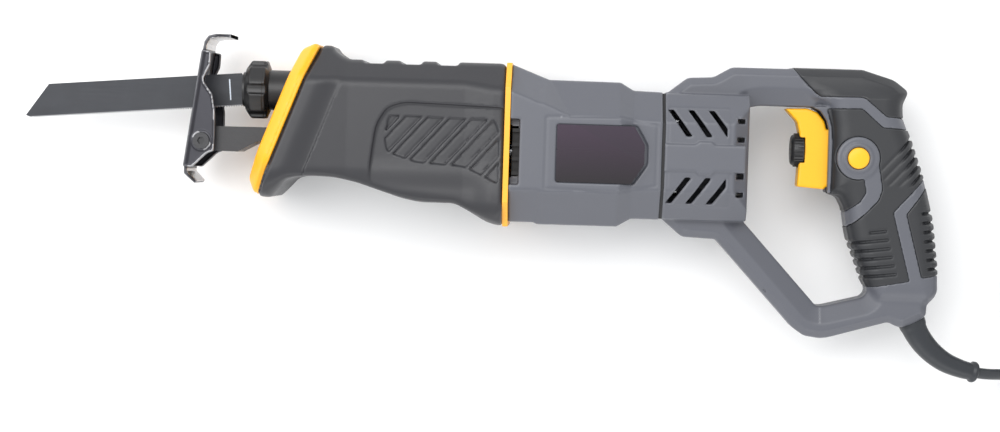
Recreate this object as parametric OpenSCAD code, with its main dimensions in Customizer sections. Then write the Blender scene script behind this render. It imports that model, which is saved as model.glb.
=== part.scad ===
// Corded reciprocating saw, lying on its right side.
// +X runs from the blade to the handle, +Y is up when the saw is held, +Z is its left side.
// Every module draws in the saw's own frame: x = 0 at the accent ring, y = 0 on the motor axis
// and z = 0 on the parting plane of the handle. placed() then moves it to the part's frame.

/* [Body] */
// Overall width of the nose ring, the accent ring and the motor housing
body_w = 80; // [78:1:100]
// Length of the rubber boot, from the accent ring to the middle of the nose ring
boot_len = 124; // [118:1:150]
// Length of the motor housing behind the accent ring
motor_len = 85.5; // [84:0.5:110]
// Length of the nose ring along its slope
bezel_h = 92; // [88:1:110]
// Thickness of the nose ring
bezel_t = 9; // [6:0.5:12]
// Slope of the nose ring, top leaning back
bezel_slant = 21; // [10:1:30]
// Wall of the plastic housings
wall = 3; // [2:0.5:4]
// Width of the accent ring along the axis
ring_t = 3; // [2:0.5:4]

/* [Drive] */
// Stroke of the plunger and blade
stroke = 20; // [12:1:20]
// Diameter of the plunger rod
plunger_d = 14; // [10:1:16]
// Height of the plunger above the motor axis
plunger_y = 31; // [30:0.5:32]
// Teeth of the motor pinion
pinion_teeth = 8; // [7:1:9]
// Teeth of the crank gear
gear_teeth = 46; // [38:1:50]
// Module of the bevel teeth at their outer end
gear_module = 1.1; // [0.9:0.05:1.15]
// Diameter of the armature shaft
shaft_d = 8; // [6:1:8]
// Outer diameter of the field core
core_d = 66; // [60:1:67]
// Running clearance between a shaft and its bearing, on the radius
run_fit = 0.05; // [0.02:0.01:0.1]
// Clearance between pieces that seat in each other, on each side
seat_fit = 0.3; // [0.2:0.05:0.5]

/* [Blade] */
// Overall length of the blade with its tang
blade_len = 150; // [115:1:200]
// Width of the blade over its teeth
blade_w = 19; // [15:1:22]
// Thickness of the blade
blade_t = 1.2; // [0.9:0.1:1.6]
// Droop of the blade below the plunger axis
blade_droop = 4.9; // [0:0.1:5]
// Diameter of the clamp collar over its lobes
collar_d = 34; // [30:1:35]
// Length of the clamp collar
collar_len = 14; // [12:1:15]

/* [Shoe] */
// Width of the shoe over its side plates
shoe_w = 39; // [38:1:46]
// Sheet thickness of the shoe
shoe_t = 2; // [1.5:0.5:2.5]
// Diameter of the shoe's pivot
pivot_d = 6; // [5:1:7]

/* [Handle] */
// Width of the hand grip
grip_w = 36; // [32:1:44]
// Width of the guard that closes the handle at the front and below
guard_w = 28; // [24:1:32]
// Travel of the trigger
trigger_travel = 6; // [4:1:6]
// Width of the trigger
trigger_w = 15; // [12:1:18]
// Travel of the lock button
button_travel = 3; // [2:0.5:3]
// Diameter of the lock button
button_d = 12; // [9:1:14]

/* [Cord] */
// Diameter of the mains cord
cord_d = 6.5; // [6:0.5:7]
// Turns of cord in each of the coil's two layers
coil_turns = 4; // [3:1:4]

/* [Hidden] */

$fn = 48;
eps = 0.01;
half_w = body_w / 2;

// Stations along the axis
nose_x = -boot_len;
nose_y = 14;
seal_t = 1.5;
handle_x = motor_len + ring_t / 2 + seal_t;
case_front = nose_x + 28;
tube_front = nose_x + 16;
plate_front = -14;
plate_back = -3;
clamp_x = nose_x - 28;
shoe_pivot_x = nose_x - 50.5;
shoe_pivot_y = 0.7;
shoe_lean = 7.8;

// Heights of the front flange about the motor axis
flange_top = 49.5;
flange_low = 42;

// Bevel gears: both cones meet on the motor axis, at the crank's own axis
pinion_r = gear_module * pinion_teeth / 2;
gear_r = gear_module * gear_teeth / 2;
cone_len = sqrt(pinion_r * pinion_r + gear_r * gear_r);
face_w = 6.5;
backlash = 0.22;
crank_x = -50;
crank_r = stroke / 2;
case_inner_z = 28;

// Outer corners of the whole saw, for its origin
tang_len = 21;
blade_reach = blade_len - tang_len;
tip_x = clamp_x - blade_reach * cos(blade_droop) + (blade_w / 2 - 1.8) * sin(blade_droop);
grip_back = handle_x + 157.8;
lip_top = 62.6;
lip_back = 7;
top_y = shoe_pivot_y + lip_top * cos(shoe_lean) - lip_back * sin(shoe_lean);
low_y = -101;
mid_x = (tip_x + grip_back) / 2;
mid_y = (top_y + low_y) / 2;

module placed() {
    translate([-mid_x, -mid_y, half_w]) children();
}

// ---- shared shapes ----

// Cylinder along X from x0 to x1, on the line (y, z)
module rod_x(x0, x1, r, y = 0, z = 0) {
    translate([x0, y, z]) rotate([0, 90, 0]) cylinder(h = x1 - x0, r = r);
}

// Cylinder along Y from y0 to y1
module rod_y(y0, y1, r, x = 0, z = 0) {
    translate([x, y0, z]) rotate([-90, 0, 0]) cylinder(h = y1 - y0, r = r);
}

// Cylinder along Z from z0 to z1
module rod_z(z0, z1, r, x = 0, y = 0) {
    translate([x, y, z0]) cylinder(h = z1 - z0, r = r);
}

module ring_x(x0, x1, r_out, r_in, y = 0, z = 0) {
    difference() {
        rod_x(x0, x1, r_out, y, z);
        rod_x(x0 - 1, x1 + 1, r_in, y, z);
    }
}

// Box given by its two corners
module block(low, high) {
    translate(low) cube(high - low);
}

// Side outline in XY with a width across Z
module slab(points, w) {
    translate([0, 0, -w / 2]) linear_extrude(height = w) polygon(points);
}

// Cross-section in YZ drawn along X
module along_x(x0, x1) {
    translate([x0, 0, 0]) rotate([90, 0, 90]) linear_extrude(height = x1 - x0) children();
}

// Top outline in XZ drawn along Y
module plan(points, y0, y1) {
    translate([0, y1, 0]) rotate([90, 0, 0]) linear_extrude(height = y1 - y0) polygon(points);
}

// Octagon with corners cut back by cy along Y and cz along Z
function octagon(y0, y1, zh, cy, cz) = [
    [y0 + cy, -zh], [y1 - cy, -zh], [y1, -zh + cz], [y1, zh - cz],
    [y1 - cy, zh], [y0 + cy, zh], [y0, zh - cz], [y0, -zh + cz]];

// Cap screw along +X, its head's underside at x
module cap_screw_x(x, len, d, y, z) {
    difference() {
        union() {
            rod_x(x, x + len, d / 2, y, z);
            rod_x(x - d, x + eps, d * 0.85, y, z);
        }
        translate([x - d - eps, y, z]) rotate([0, 90, 0]) cylinder(h = d * 0.6, r = d * 0.45, $fn = 6);
    }
}

// Ball bearing on X: two races, a shield and its balls
module ball_bearing_x(x, len, r_out, r_in) {
    race = (r_out - r_in) * 0.28;
    ball_r = (r_out - r_in) / 2 - race - 0.05;
    mid_r = (r_out + r_in) / 2;
    balls = 7;
    ring_x(x, x + len, r_out, r_out - race);
    ring_x(x, x + len, r_in + race, r_in);
    for (i = [0 : balls - 1])
        rotate([i * 360 / balls, 0, 0]) translate([x + len / 2, mid_r, 0]) sphere(r = ball_r);
}

// Round tube swept along a list of points that never run along the direction off
function unit(v) = v / norm(v);
function tangent(p, i) = unit(p[min(i + 1, len(p) - 1)] - p[max(i - 1, 0)]);
module tube(path, radii, sides = 8, off = [0, 0, 1]) {
    rings = len(path);
    points = [for (i = [0 : rings - 1]) let (t = tangent(path, i), u = unit(cross(t, off)), v = cross(t, u))
        for (k = [0 : sides - 1])
            path[i] + radii[i] * (cos(k * 360 / sides) * u + sin(k * 360 / sides) * v)];
    walls = [for (i = [0 : rings - 2]) for (k = [0 : sides - 1])
        [i * sides + k, (i + 1) * sides + k,
         (i + 1) * sides + (k + 1) % sides, i * sides + (k + 1) % sides]];
    first = [for (k = [0 : sides - 1]) k];
    last = [for (k = [0 : sides - 1]) rings * sides - 1 - k];
    polyhedron(points = points, faces = concat(walls, [first], [last]));
}

// ---- blade, clamp and plunger ----

module saw_blade() {
    tooth = 1.4;
    teeth = floor((blade_reach - 6) / tooth);
    teeth_y = -blade_w / 2;
    color([0.22, 0.24, 0.27])
    translate([clamp_x, plunger_y, 0]) rotate([0, 0, blade_droop])
        translate([0, 0, -blade_t / 2]) linear_extrude(height = blade_t)
            difference() {
                polygon(concat(
                    [[-2.5, blade_w / 2], [14.5 - blade_reach, blade_w / 2],
                     [-blade_reach, teeth_y + 1.8], [3 - blade_reach, teeth_y + 0.2]],
                    [for (i = [0 : teeth - 1]) for (s = [0, 1])
                        [4 - blade_reach + (i + s * 0.7) * tooth, teeth_y + (s == 0 ? 0.9 : 0)]],
                    [[-2.5, teeth_y + 0.9], [0, -6], [tang_len - 3, -6], [tang_len - 3, 6], [0, 6]]));
                translate([tang_len / 2, 0]) circle(d = 5);
            }
}

module clamp_core() {
    color("dimgray")
    difference() {
        union() {
            rod_x(clamp_x - 1.5, clamp_x + collar_len + 2, 10, plunger_y);
            rod_x(clamp_x + collar_len, clamp_x + collar_len + 11, 11.5, plunger_y);
        }
        translate([clamp_x, plunger_y, 0]) rotate([0, 0, blade_droop])
            block([-6, -7, -blade_t / 2 - 0.2], [tang_len - 2, 7, blade_t / 2 + 0.2]);
        rod_x(clamp_x + collar_len + 4, clamp_x + collar_len + 12, plunger_d / 2 + eps, plunger_y);
        rod_z(-12, 12, 2.05, clamp_x + tang_len / 2, plunger_y + blade_droop / 6);
    }
}

module blade_pin() {
    color("silver") rod_z(-9.5, 9.5, 2, clamp_x + tang_len / 2, plunger_y + blade_droop / 6);
}

module clamp_collar() {
    lobes = 5;
    body_r = collar_d / 2 - 4.5;
    color([0.13, 0.13, 0.14])
    difference() {
        union() {
            rod_x(clamp_x, clamp_x + collar_len, body_r, plunger_y);
            for (i = [0 : lobes - 1])
                translate([clamp_x + 1.5, plunger_y, 0]) rotate([i * 360 / lobes, 0, 0])
                    block([0, 0, -5], [collar_len - 3.5, collar_d / 2, 5]);
        }
        rod_x(clamp_x - 1, clamp_x + collar_len + 1, 10 + run_fit, plunger_y);
        rod_x(clamp_x + 3, clamp_x + collar_len - 3, 11.5, plunger_y);
    }
}

module collar_spring() {
    coils = 3;
    steps = 12;
    path = [for (i = [0 : coils * steps])
        [clamp_x + 4 + (collar_len - 8) * i / (coils * steps),
         plunger_y + 10.8 * cos(i * 360 / steps), 10.8 * sin(i * 360 / steps)]];
    color("silver") tube(path, [for (p = path) 0.45], 6, [1, 0, 0]);
}

rod_front = clamp_x + collar_len + 4;
yoke_half = 9;
rear_rod_end = -11;

module plunger_rod() {
    color("silver") union() {
        rod_x(rod_front, crank_x - yoke_half, plunger_d / 2, plunger_y);
        rod_x(crank_x + yoke_half, rear_rod_end, 4, plunger_y);
    }
}

roller_r = 6.5;
roller_top = 22;

module plunger_yoke() {
    slot_w = roller_r + 0.15;
    color("gray")
    difference() {
        block([crank_x - yoke_half, roller_top + 0.6, -20], [crank_x + yoke_half, plunger_y + 7, 20]);
        block([crank_x - slot_w, roller_top, -17.5], [crank_x + slot_w, plunger_y - 1, 17.5]);
    }
}

bush_len = 20;

module front_bushing() {
    color("peru")
    ring_x(tube_front + 2, tube_front + 2 + bush_len, plunger_d / 2 + 2, plunger_d / 2 + run_fit, plunger_y);
}

module rod_seal() {
    color([0.1, 0.1, 0.1])
    ring_x(tube_front, tube_front + 2, plunger_d / 2 + 4, plunger_d / 2 + run_fit, plunger_y);
}

module rear_bushing() {
    color("peru") ring_x(plate_front - 14, plate_front - 2, 6, 4 + run_fit, plunger_y);
}

// ---- gearbox ----

case_top = 46;
case_low = -11;
cover_low = -14;
case_z = case_inner_z + wall;
bracket_screw_z = 18;

// Section of the gear case: square below, its upper corners cut back under the boot
function case_outline(low, high, zh) = [
    [low, -zh], [high - 9, -zh], [high, -zh + 9], [high, zh - 9], [high - 9, zh], [low, zh]];

module gearbox_case() {
    color([0.62, 0.63, 0.65])
    difference() {
        union() {
            difference() {
                along_x(case_front, plate_front) polygon(case_outline(case_low, case_top, case_z));
                along_x(case_front + wall, plate_front + 1)
                    polygon(case_outline(case_low - 1, case_top - wall, case_inner_z));
            }
            rod_x(tube_front, case_front + eps, plunger_d / 2 + 7, plunger_y);
            rod_x(case_front, case_front + 10, plunger_d / 2 + 4.5, plunger_y);
            for (s = [-1, 1])
                rod_x(case_front, case_front + 10, 5, 1, s * bracket_screw_z);
        }
        rod_x(tube_front + 2, case_front + 11, plunger_d / 2 + 2, plunger_y);
        rod_x(tube_front - 1, tube_front + 2, plunger_d / 2 + 4, plunger_y);
        for (s = [-1, 1])
            rod_x(case_front - 1, case_front + 9, 2.5, 1, s * bracket_screw_z);
    }
}

bearing_r = 13;

module gearbox_cover() {
    color([0.58, 0.59, 0.61])
    difference() {
        union() {
            block([case_front, cover_low, -case_z], [plate_front, case_low, case_z]);
            rod_y(case_low - eps, -3, bearing_r + 3, crank_x);
        }
        rod_y(case_low, -2, bearing_r, crank_x);
        rod_y(cover_low - 1, -2, 6, crank_x);
    }
}

// Two screws hold the shoe bracket and four the bearing plate
module gearbox_screws() {
    color("silver") {
        for (s = [-1, 1])
            cap_screw_x(case_front - bracket_foot - seat_fit, 12, 4.9, 1, s * bracket_screw_z);
        for (y = [-30, 40], s = [-1, 1])
            mirror([1, 0, 0]) cap_screw_x(-plate_back + 4.1, 6.6, 4, y, s * 24);
    }
}

module bearing_plate() {
    color([0.62, 0.63, 0.65])
    difference() {
        union() {
            along_x(plate_front, plate_back) polygon(octagon(-36, 45, 33, 11, 9));
            rod_x(plate_front - 14, plate_front + eps, 8, plunger_y);
        }
        rod_x(plate_front - 15, plate_front - 2, 6, plunger_y);
        rod_x(plate_front - 3, plate_back + 1, 4.5, plunger_y);
        rod_x(plate_front - 1, plate_back + 1, 6);
        rod_x(plate_front + 3, plate_back + 1, 11);
        for (y = [-30, 40], s = [-1, 1])
            union() {
                rod_x(plate_front - 1, plate_back + 1, 2.05, y, s * 24);
                rod_x(plate_back - 4.2, plate_back + 1, 3.5, y, s * 24);
            }
    }
}

// Point of a bevel tooth, by its distance s from the apex and its height h off the pitch cone
function cone_point(s, h, cone, a) =
    let (r = s * sin(cone) + h * cos(cone))
    [r * cos(a), r * sin(a), s * cos(cone) - h * sin(cone)];

// Ring of straight bevel teeth about Z with its apex at the origin.
// base_r and base_z give the plane circle that closes the ring at the back.
module bevel_teeth(teeth, cone, base_r, base_z) {
    addendum = gear_module * 0.9;
    dedendum = gear_module * 1.2;
    half_t = PI * gear_module / 4 - backlash / 2;
    profile = [
        [-half_t - dedendum * tan(20), -dedendum], [-half_t + addendum * tan(20), addendum],
        [half_t - addendum * tan(20), addendum], [half_t + dedendum * tan(20), -dedendum]];
    count = teeth * 4;
    heel_r = cone_len * sin(cone);
    function corner(i, scale) =
        let (q = profile[i % 4], a = floor(i / 4) * 360 / teeth + q[0] / heel_r * 180 / PI)
        cone_point(cone_len * scale, q[1] * scale, cone, a);
    toe = 1 - face_w / cone_len;
    points = concat(
        [for (i = [0 : count - 1]) corner(i, 1)],
        [for (i = [0 : count - 1]) corner(i, toe)],
        [for (i = [0 : count - 1]) let (p = corner(i, 1)) [p[0], p[1], 0] * base_r[1] / norm([p[0], p[1]]) + [0, 0, base_z]],
        [for (i = [0 : count - 1]) let (p = corner(i, 1)) [p[0], p[1], 0] * base_r[0] / norm([p[0], p[1]]) + [0, 0, base_z]]);
    quads = [for (i = [0 : count - 1]) let (j = (i + 1) % count) each [
        [i, j, count + j, count + i], [j, i, 2 * count + i, 2 * count + j],
        [count + i, count + j, 3 * count + j, 3 * count + i],
        [2 * count + j, 2 * count + i, 3 * count + i, 3 * count + j]]];
    triangles = [for (q = quads) each [[q[0], q[1], q[2]], [q[0], q[2], q[3]]]];
    polyhedron(points = points, faces = triangles);
}

gear_back = pinion_r + 3;

module crank_gear() {
    color([0.45, 0.46, 0.48])
    translate([crank_x, 0, 0]) union() {
        rotate([-90, 0, 0]) rotate([0, 0, 180 / gear_teeth])
            bevel_teeth(gear_teeth, 90 - atan(pinion_teeth / gear_teeth),
                        [gear_r - face_w - 1, gear_r + 0.5], gear_back);
        rod_y(gear_back, 13, gear_r - 1);
        rod_y(-2.9, gear_back, 7);
        rod_y(case_low + 0.5, -2.8, 5);
        rod_y(12.9, roller_top, 4, 0, crank_r);
    }
}

module crank_bearing() {
    color("silver")
    translate([crank_x, 0, 0]) rotate([0, 0, 90])
        ball_bearing_x(case_low + 0.2, 7.6, bearing_r, 5 + run_fit);
}

module crank_roller() {
    color("silver")
    difference() {
        rod_y(13.2, roller_top, roller_r, crank_x, crank_r);
        rod_y(13, roller_top + 1, 4 + run_fit, crank_x, crank_r);
    }
}

// ---- shoe ----

bracket_foot = 4;
bracket_nose = 5.5;

module shoe_bracket() {
    px = shoe_pivot_x;
    foot_x = case_front - seat_fit;
    color([0.16, 0.16, 0.18])
    difference() {
        union() {
            rod_z(-15, 15, bracket_nose, px, shoe_pivot_y);
            slab([[px, shoe_pivot_y - bracket_nose], [px + 20, -5], [px + 32, 1.5], [foot_x, 1.5],
                  [foot_x, 9.7], [px + 7, 9.2], [px, shoe_pivot_y + bracket_nose]], 27);
            block([foot_x - bracket_foot, -9, -22.5], [foot_x, 11, 22.5]);
        }
        rod_z(-16, 16, pivot_d / 2 + seat_fit, px, shoe_pivot_y);
        for (s = [-1, 1])
            rod_x(foot_x - 5, foot_x + 1, 2.6, 1, s * bracket_screw_z);
    }
}

// Side plate of the shoe, in the shoe's own frame about its pivot
shoe_side = [[-8, -16], [-3, -16], [4.5, -6.5], [8, -4.5], [7, 4.5], [5, 17.5], [2, 27],
             [-3.5, 32.5], [-4.5, 35], [-2, 43], [-2.7, 51], [-8, 51]];

module shoe_frame() {
    translate([shoe_pivot_x, shoe_pivot_y, 0]) rotate([0, 0, -shoe_lean]) children();
}

module shoe() {
    t = shoe_t;
    color([0.18, 0.18, 0.2])
    shoe_frame() difference() {
        union() {
            block([-8, -16, -shoe_w / 2], [-8 + t, 51, shoe_w / 2]);
            for (s = [-1, 1])
                translate([0, 0, s * (shoe_w - t) / 2]) slab(shoe_side, t);
            slab([[-8, 50.9], [-8 + t, 50.9], [-8 + t, 55], [-4.6, 58], [-1.5, 59.2],
                  [lip_back, lip_top - t], [lip_back, lip_top], [-2, 61.3], [-6, 59.6], [-7.8, 56]], shoe_w - 4);
            slab([[-8, -15.9], [-8 + t, -15.9], [-5.6, -18.6], [0.7, -23.2], [-0.6, -24.8], [-7.3, -20]],
                 shoe_w - 4);
        }
        block([-9, 6, -4], [-7 + t, 47, 4]);
        rod_z(-shoe_w, shoe_w, pivot_d / 2 + run_fit);
    }
}

module shoe_pivot() {
    head_t = 1.2;
    color("dimgray")
    translate([shoe_pivot_x, shoe_pivot_y, 0]) difference() {
        union() {
            rod_z(-shoe_w / 2 - head_t, shoe_w / 2 + head_t, pivot_d / 2);
            for (s = [-1, 1])
                translate([0, 0, s * (shoe_w / 2 + head_t / 2 + 0.05)])
                    cylinder(h = head_t, r = pivot_d / 2 + 1.6, center = true);
        }
        for (s = [-1, 1])
            translate([0, 0, s * (shoe_w / 2 + head_t)]) cylinder(h = 3, r = 2.2, center = true, $fn = 6);
    }
}

// ---- nose ring, boot and accent ring ----

module nose_frame() {
    translate([nose_x, nose_y, 0]) rotate([0, 0, -bezel_slant]) children();
}

// Way through the nose for the collar and the shoe bracket, back to the station x1
module mouth(x1) {
    rod_x(clamp_x - 20, x1, collar_d / 2 + 3.5, plunger_y);
    block([clamp_x - 20, -11, -23], [x1, plunger_y, 23]);
}

module nose_ring() {
    edge = 5;
    color([1, 0.66, 0])
    difference() {
        nose_frame() hull() {
            along_x(-bezel_t + edge, 0)
                polygon(octagon(-bezel_h / 2, bezel_h / 2, half_w, 20, 16));
            along_x(-bezel_t, -bezel_t + 0.1)
                polygon(octagon(-bezel_h / 2 + edge, bezel_h / 2 - edge, half_w - edge, 20, 16));
        }
        mouth(case_front);
    }
}

module front_boot() {
    slope = tan(bezel_slant);
    waist_z = half_w - 3;
    n = nose_x;
    color([0.2, 0.2, 0.22])
    difference() {
        intersection() {
            slab([[-ring_t / 2, flange_top], [n + 34, 49.3], [n + 30, 50.5], [n + 25, 53.8], [n + 23, 57],
                  [n + (57 - nose_y) * slope, 57], [n - (nose_y + 29) * slope, -29],
                  [n - 15, -29.8], [n - 9, -30], [n - 4, -25], [n, -19.5], [n + 6, -18],
                  [n + 27, -17.6], [n + 40, -20], [n + 51, -23.7], [-58.6, -28.2], [-48.6, -30.2],
                  [-29, -30.2], [-22.5, -33.2], [-10.6, -40], [-5.6, -41.6], [-ring_t / 2, -flange_low]],
                 body_w);
            plan([[n - 30, -half_w], [n + 24, -half_w], [n + 32, -waist_z], [-24, -waist_z],
                  [-10, -half_w], [0, -half_w], [0, half_w], [-10, half_w], [-24, waist_z],
                  [n + 32, waist_z], [n + 24, half_w], [n - 30, half_w]], -50, 60);
            along_x(n - 30, 0) polygon([[-42, -28], [-30, -half_w], [37, -half_w], [57, -half_w + 20],
                [57, half_w - 20], [37, half_w], [-30, half_w], [-42, 28]]);
        }
        mouth(nose_x + 3);
        rod_x(n, case_front + 1, plunger_d / 2 + 8.3, plunger_y);
        block([n, -11, -23], [case_front + 1, plunger_y, 23]);
        along_x(case_front - seat_fit, 1)
            polygon(case_outline(cover_low - seat_fit, case_top + seat_fit, case_z + seat_fit));
        along_x(plate_front - seat_fit, 1) polygon(octagon(-36.3, 46.3, 33.3, 11, 9));
        for (i = [0 : 2])
            block([-40 - 21 * i, flange_top - 2.3, -15], [-29.5 - 21 * i, flange_top + 1, 15]);
    }
}

module accent_ring() {
    color([1, 0.66, 0])
    difference() {
        along_x(-ring_t / 2, ring_t / 2)
            polygon(octagon(-flange_low - 0.4, flange_top + 0.4, half_w, 14, 14));
        along_x(-ring_t, ring_t) polygon(octagon(-35, 42, 34, 12, 12));
    }
}

// ---- motor housing ----

core_x0 = 24;
core_x1 = core_x0 + 42;
back_x = ring_t / 2 + motor_len;
back_z = half_w - 4;
slot_x0 = 2;
slot_x1 = 8;
slot_y = 18;
motor_screw_y = 20;
motor_screw_z = 17;

module housing_outline() {
    intersection() {
        slab([[ring_t / 2, flange_top], [22.5, 41.3], [back_x - 24, 40.8], [back_x - 16.5, 36.2],
              [back_x, 36], [back_x, -36], [back_x - 16, -36.2], [back_x - 24, -40.7], [18, -40.8],
              [15.5, -39.6], [ring_t / 2, -40]], body_w);
        plan([[0, -half_w], [back_x - 25, -half_w], [back_x - 15, -back_z], [back_x + 1, -back_z],
              [back_x + 1, back_z], [back_x - 15, back_z], [back_x - 25, half_w], [0, half_w]], -50, 60);
        along_x(0, back_x) polygon(octagon(-41, flange_top, half_w, 20, 18));
    }
}

module motor_housing() {
    inner = half_w - wall - 1;
    color([0.42, 0.43, 0.47])
    difference() {
        union() {
            difference() {
                housing_outline();
                along_x(0, core_x1 - 6) polygon(octagon(-37.2, 37.2, inner, 17, 17));
                rod_x(core_x1 - 8, back_x - wall, 33);
            }
            ring_x(core_x0, core_x1 - 5, core_d / 2 + 2.5, core_d / 2);
            for (a = [45 : 90 : 315])
                rotate([a, 0, 0]) block([core_x0, core_d / 2 + 1, -3], [core_x1 - 5, core_d / 2 + 6, 3]);
        }
        rod_x(core_x0, core_x1, core_d / 2);
        rod_x(back_x - wall - 1, back_x + 1, 13);
        for (s = [-1, 1]) {
            block([slot_x0, -slot_y, min(s * 20, s * 45)], [slot_x1, slot_y, max(s * 20, s * 45)]);
            translate([0, 0, s * (half_w - 0.5)]) slab(badge_outline(0.2), 1.01);
        }
        for (y = [-motor_screw_y, motor_screw_y], s = [-1, 1])
            rod_x(back_x - wall - 1, back_x + 1, 2.1, y, s * motor_screw_z);
    }
}

// Six-sided name plate, grown on every side by g
function badge_outline(g = 0) = [
    [28 - g, -16 - g], [70 + g, -16 - g], [77 + g, -5], [77 + g, 6], [71 + g, 16 + g], [28 - g, 16 + g]];

module badge(s) {
    color([0.2, 0.15, 0.2]) translate([0, 0, s * (half_w - 0.6)]) slab(badge_outline(), 0.8);
}

// Slotted screen behind the air slots, with the deflector that keeps the fan's air apart
module vent_screen() {
    top = half_w - wall - 1.5;
    seat = top - 2.5;
    color([0.06, 0.06, 0.06])
    for (s = [-1, 1]) {
        for (y = [-12 : 8 : 12])
            block([3, y - 1, min(s * seat, s * top)], [slot_x1 + 2, y + 1, max(s * seat, s * top)]);
        block([slot_x1 + 1, -slot_y - 2, min(s * seat, s * top)],
              [slot_x1 + 2.2, slot_y + 2, max(s * seat, s * top)]);
        block([3, -slot_y - 2, min(s * (seat - 1), s * (seat + 0.05))],
              [slot_x1 + 2.2, slot_y + 2, max(s * (seat - 1), s * (seat + 0.05))]);
    }
}

module field_core() {
    color("slategray")
    difference() {
        rod_x(core_x0 + 4, core_x1 - 8, core_d / 2 - eps);
        rod_x(core_x0, core_x1, 20);
        for (s = [-1, 1])
            block([core_x0, -14, min(s * 10, s * 27)], [core_x1, 14, max(s * 10, s * 27)]);
    }
}

module field_coils() {
    color([0.65, 0.35, 0.15])
    for (s = [-1, 1])
        difference() {
            block([core_x0 - 1, -13, min(s * 20.5, s * 26.5)], [core_x1 - 3, 13, max(s * 20.5, s * 26.5)]);
            block([core_x0 + 5, -7, min(s * 20, s * 27)], [core_x1 - 9, 7, max(s * 20, s * 27)]);
        }
}

rear_bearing_x = back_x + 1;
pinion_x0 = crank_x + gear_r - face_w;

module armature_shaft() {
    color("silver") union() {
        rod_x(pinion_x0 + face_w + 2, rear_bearing_x + 7.5, shaft_d / 2 - 0.5);
        rod_x(plate_front + 4, rear_bearing_x - 0.5, shaft_d / 2);
    }
}

module armature_core() {
    color("slategray") ring_x(core_x0 + 5, core_x1 - 7, 19.4, shaft_d / 2);
}

module armature_winding() {
    color([0.7, 0.4, 0.15]) {
        ring_x(core_x0 - 1, core_x0 + 5, 17, shaft_d / 2);
        ring_x(core_x1 - 7, core_x1 - 1, 17, shaft_d / 2);
    }
}

comm_x0 = core_x1 + 1;
comm_len = 11;

module commutator() {
    bars = 24;
    color([0.72, 0.42, 0.2])
    difference() {
        ring_x(comm_x0, comm_x0 + comm_len, 11, shaft_d / 2);
        for (i = [0 : bars - 1])
            rotate([i * 360 / bars, 0, 0]) block([comm_x0 - 1, 10.4, -0.25], [comm_x0 + comm_len + 1, 12, 0.25]);
    }
}

module drive_pinion() {
    color("gray")
    translate([crank_x, 0, 0]) rotate([0, 90, 0]) rotate([0, 0, 180]) union() {
        bevel_teeth(pinion_teeth, atan(pinion_teeth / gear_teeth), [0.5, 2.8], gear_r + 1.9);
        translate([0, 0, gear_r - face_w + 0.6]) cylinder(h = face_w + 1.3, r = pinion_r * 0.5);
    }
}

module cooling_fan() {
    blades = 13;
    color([0.12, 0.12, 0.12]) union() {
        ring_x(15, 17, 30, shaft_d / 2);
        ring_x(10, 20, 7, shaft_d / 2);
        for (i = [0 : blades - 1])
            rotate([i * 360 / blades, 0, 0]) block([8, 12, -0.75], [15.5, 29.5, 0.75]);
    }
}

module front_motor_bearing() {
    color("silver") ball_bearing_x(plate_front + 4, 7, 11, shaft_d / 2 + run_fit);
}

module rear_motor_bearing() {
    color("silver") ball_bearing_x(rear_bearing_x, 7, 11, shaft_d / 2 - 0.5 + run_fit);
}

brush_x = comm_x0 + comm_len / 2;

module brush_holders() {
    color([0.75, 0.6, 0.3])
    for (s = [-1, 1])
        difference() {
            block([brush_x - 4.5, min(s * 13, s * 30), -5.5], [brush_x + 4.5, max(s * 13, s * 30), 5.5]);
            block([brush_x - 3, min(s * 12, s * 29), -4], [brush_x + 3, max(s * 12, s * 29), 4]);
        }
}

module carbon_brushes() {
    color([0.15, 0.15, 0.15])
    for (s = [-1, 1])
        block([brush_x - 2.9, min(s * 11.1, s * 22), -3.9], [brush_x + 2.9, max(s * 11.1, s * 22), 3.9]);
}

module brush_springs() {
    turns = 3;
    steps = 10;
    color("silver")
    for (s = [-1, 1])
        tube([for (i = [0 : turns * steps])
                [brush_x + 2 * cos(i * 36), s * (22.6 + 5.8 * i / (turns * steps)), 2 * sin(i * 36)]],
             [for (i = [0 : turns * steps]) 0.3], 6, [0, 1, 0]);
}

module motor_screws() {
    color("silver")
    for (y = [-motor_screw_y, motor_screw_y], s = [-1, 1])
        translate([back_x - wall - 4, 0, 0]) cap_screw_x(3.9, seal_t + 11, 4, y, s * motor_screw_z);
}

// ---- handle ----

h = handle_x;

module handle_seal() {
    color([0.08, 0.08, 0.08])
    difference() {
        along_x(back_x, handle_x) polygon(octagon(-35.4, 35.4, back_z - 0.6, 17, 16));
        rod_x(back_x - 1, handle_x + 1, 13);
        for (y = [-motor_screw_y, motor_screw_y], s = [-1, 1])
            rod_x(back_x - 1, handle_x + 1, 2.1, y, s * motor_screw_z);
    }
}

// Outer edge of the closed handle, from the motor end round the guard and up the grip
function handle_edge() = [
    [h + 4, -35.5], [h + 12, -45.6], [h + 31.5, -46.4], [h + 77, -95.5], [h + 83.5, -99.8],
    [h + 92.5, low_y], [h + 97.5, -100.3], [h + 131, -90.5], [h + 153, -79], [h + 156.5, -75.2],
    [grip_back, -71.7], [h + 157.1, -57.8], [h + 153.8, -32.5], [h + 146.8, -5.6], [h + 139.9, 13.2],
    [h + 137.3, 18.8], [h + 134.5, 25.5], [h + 134, 33.6], [h + 137.1, 40.6], [h + 129.6, 46.6],
    [h + 114.5, 51.1], [h + 112, 51.9], [h + 38.5, 51.8], [h + 27.5, 45.8], [h + 12.7, 45.1], [h + 4, 36.5]];

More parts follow.
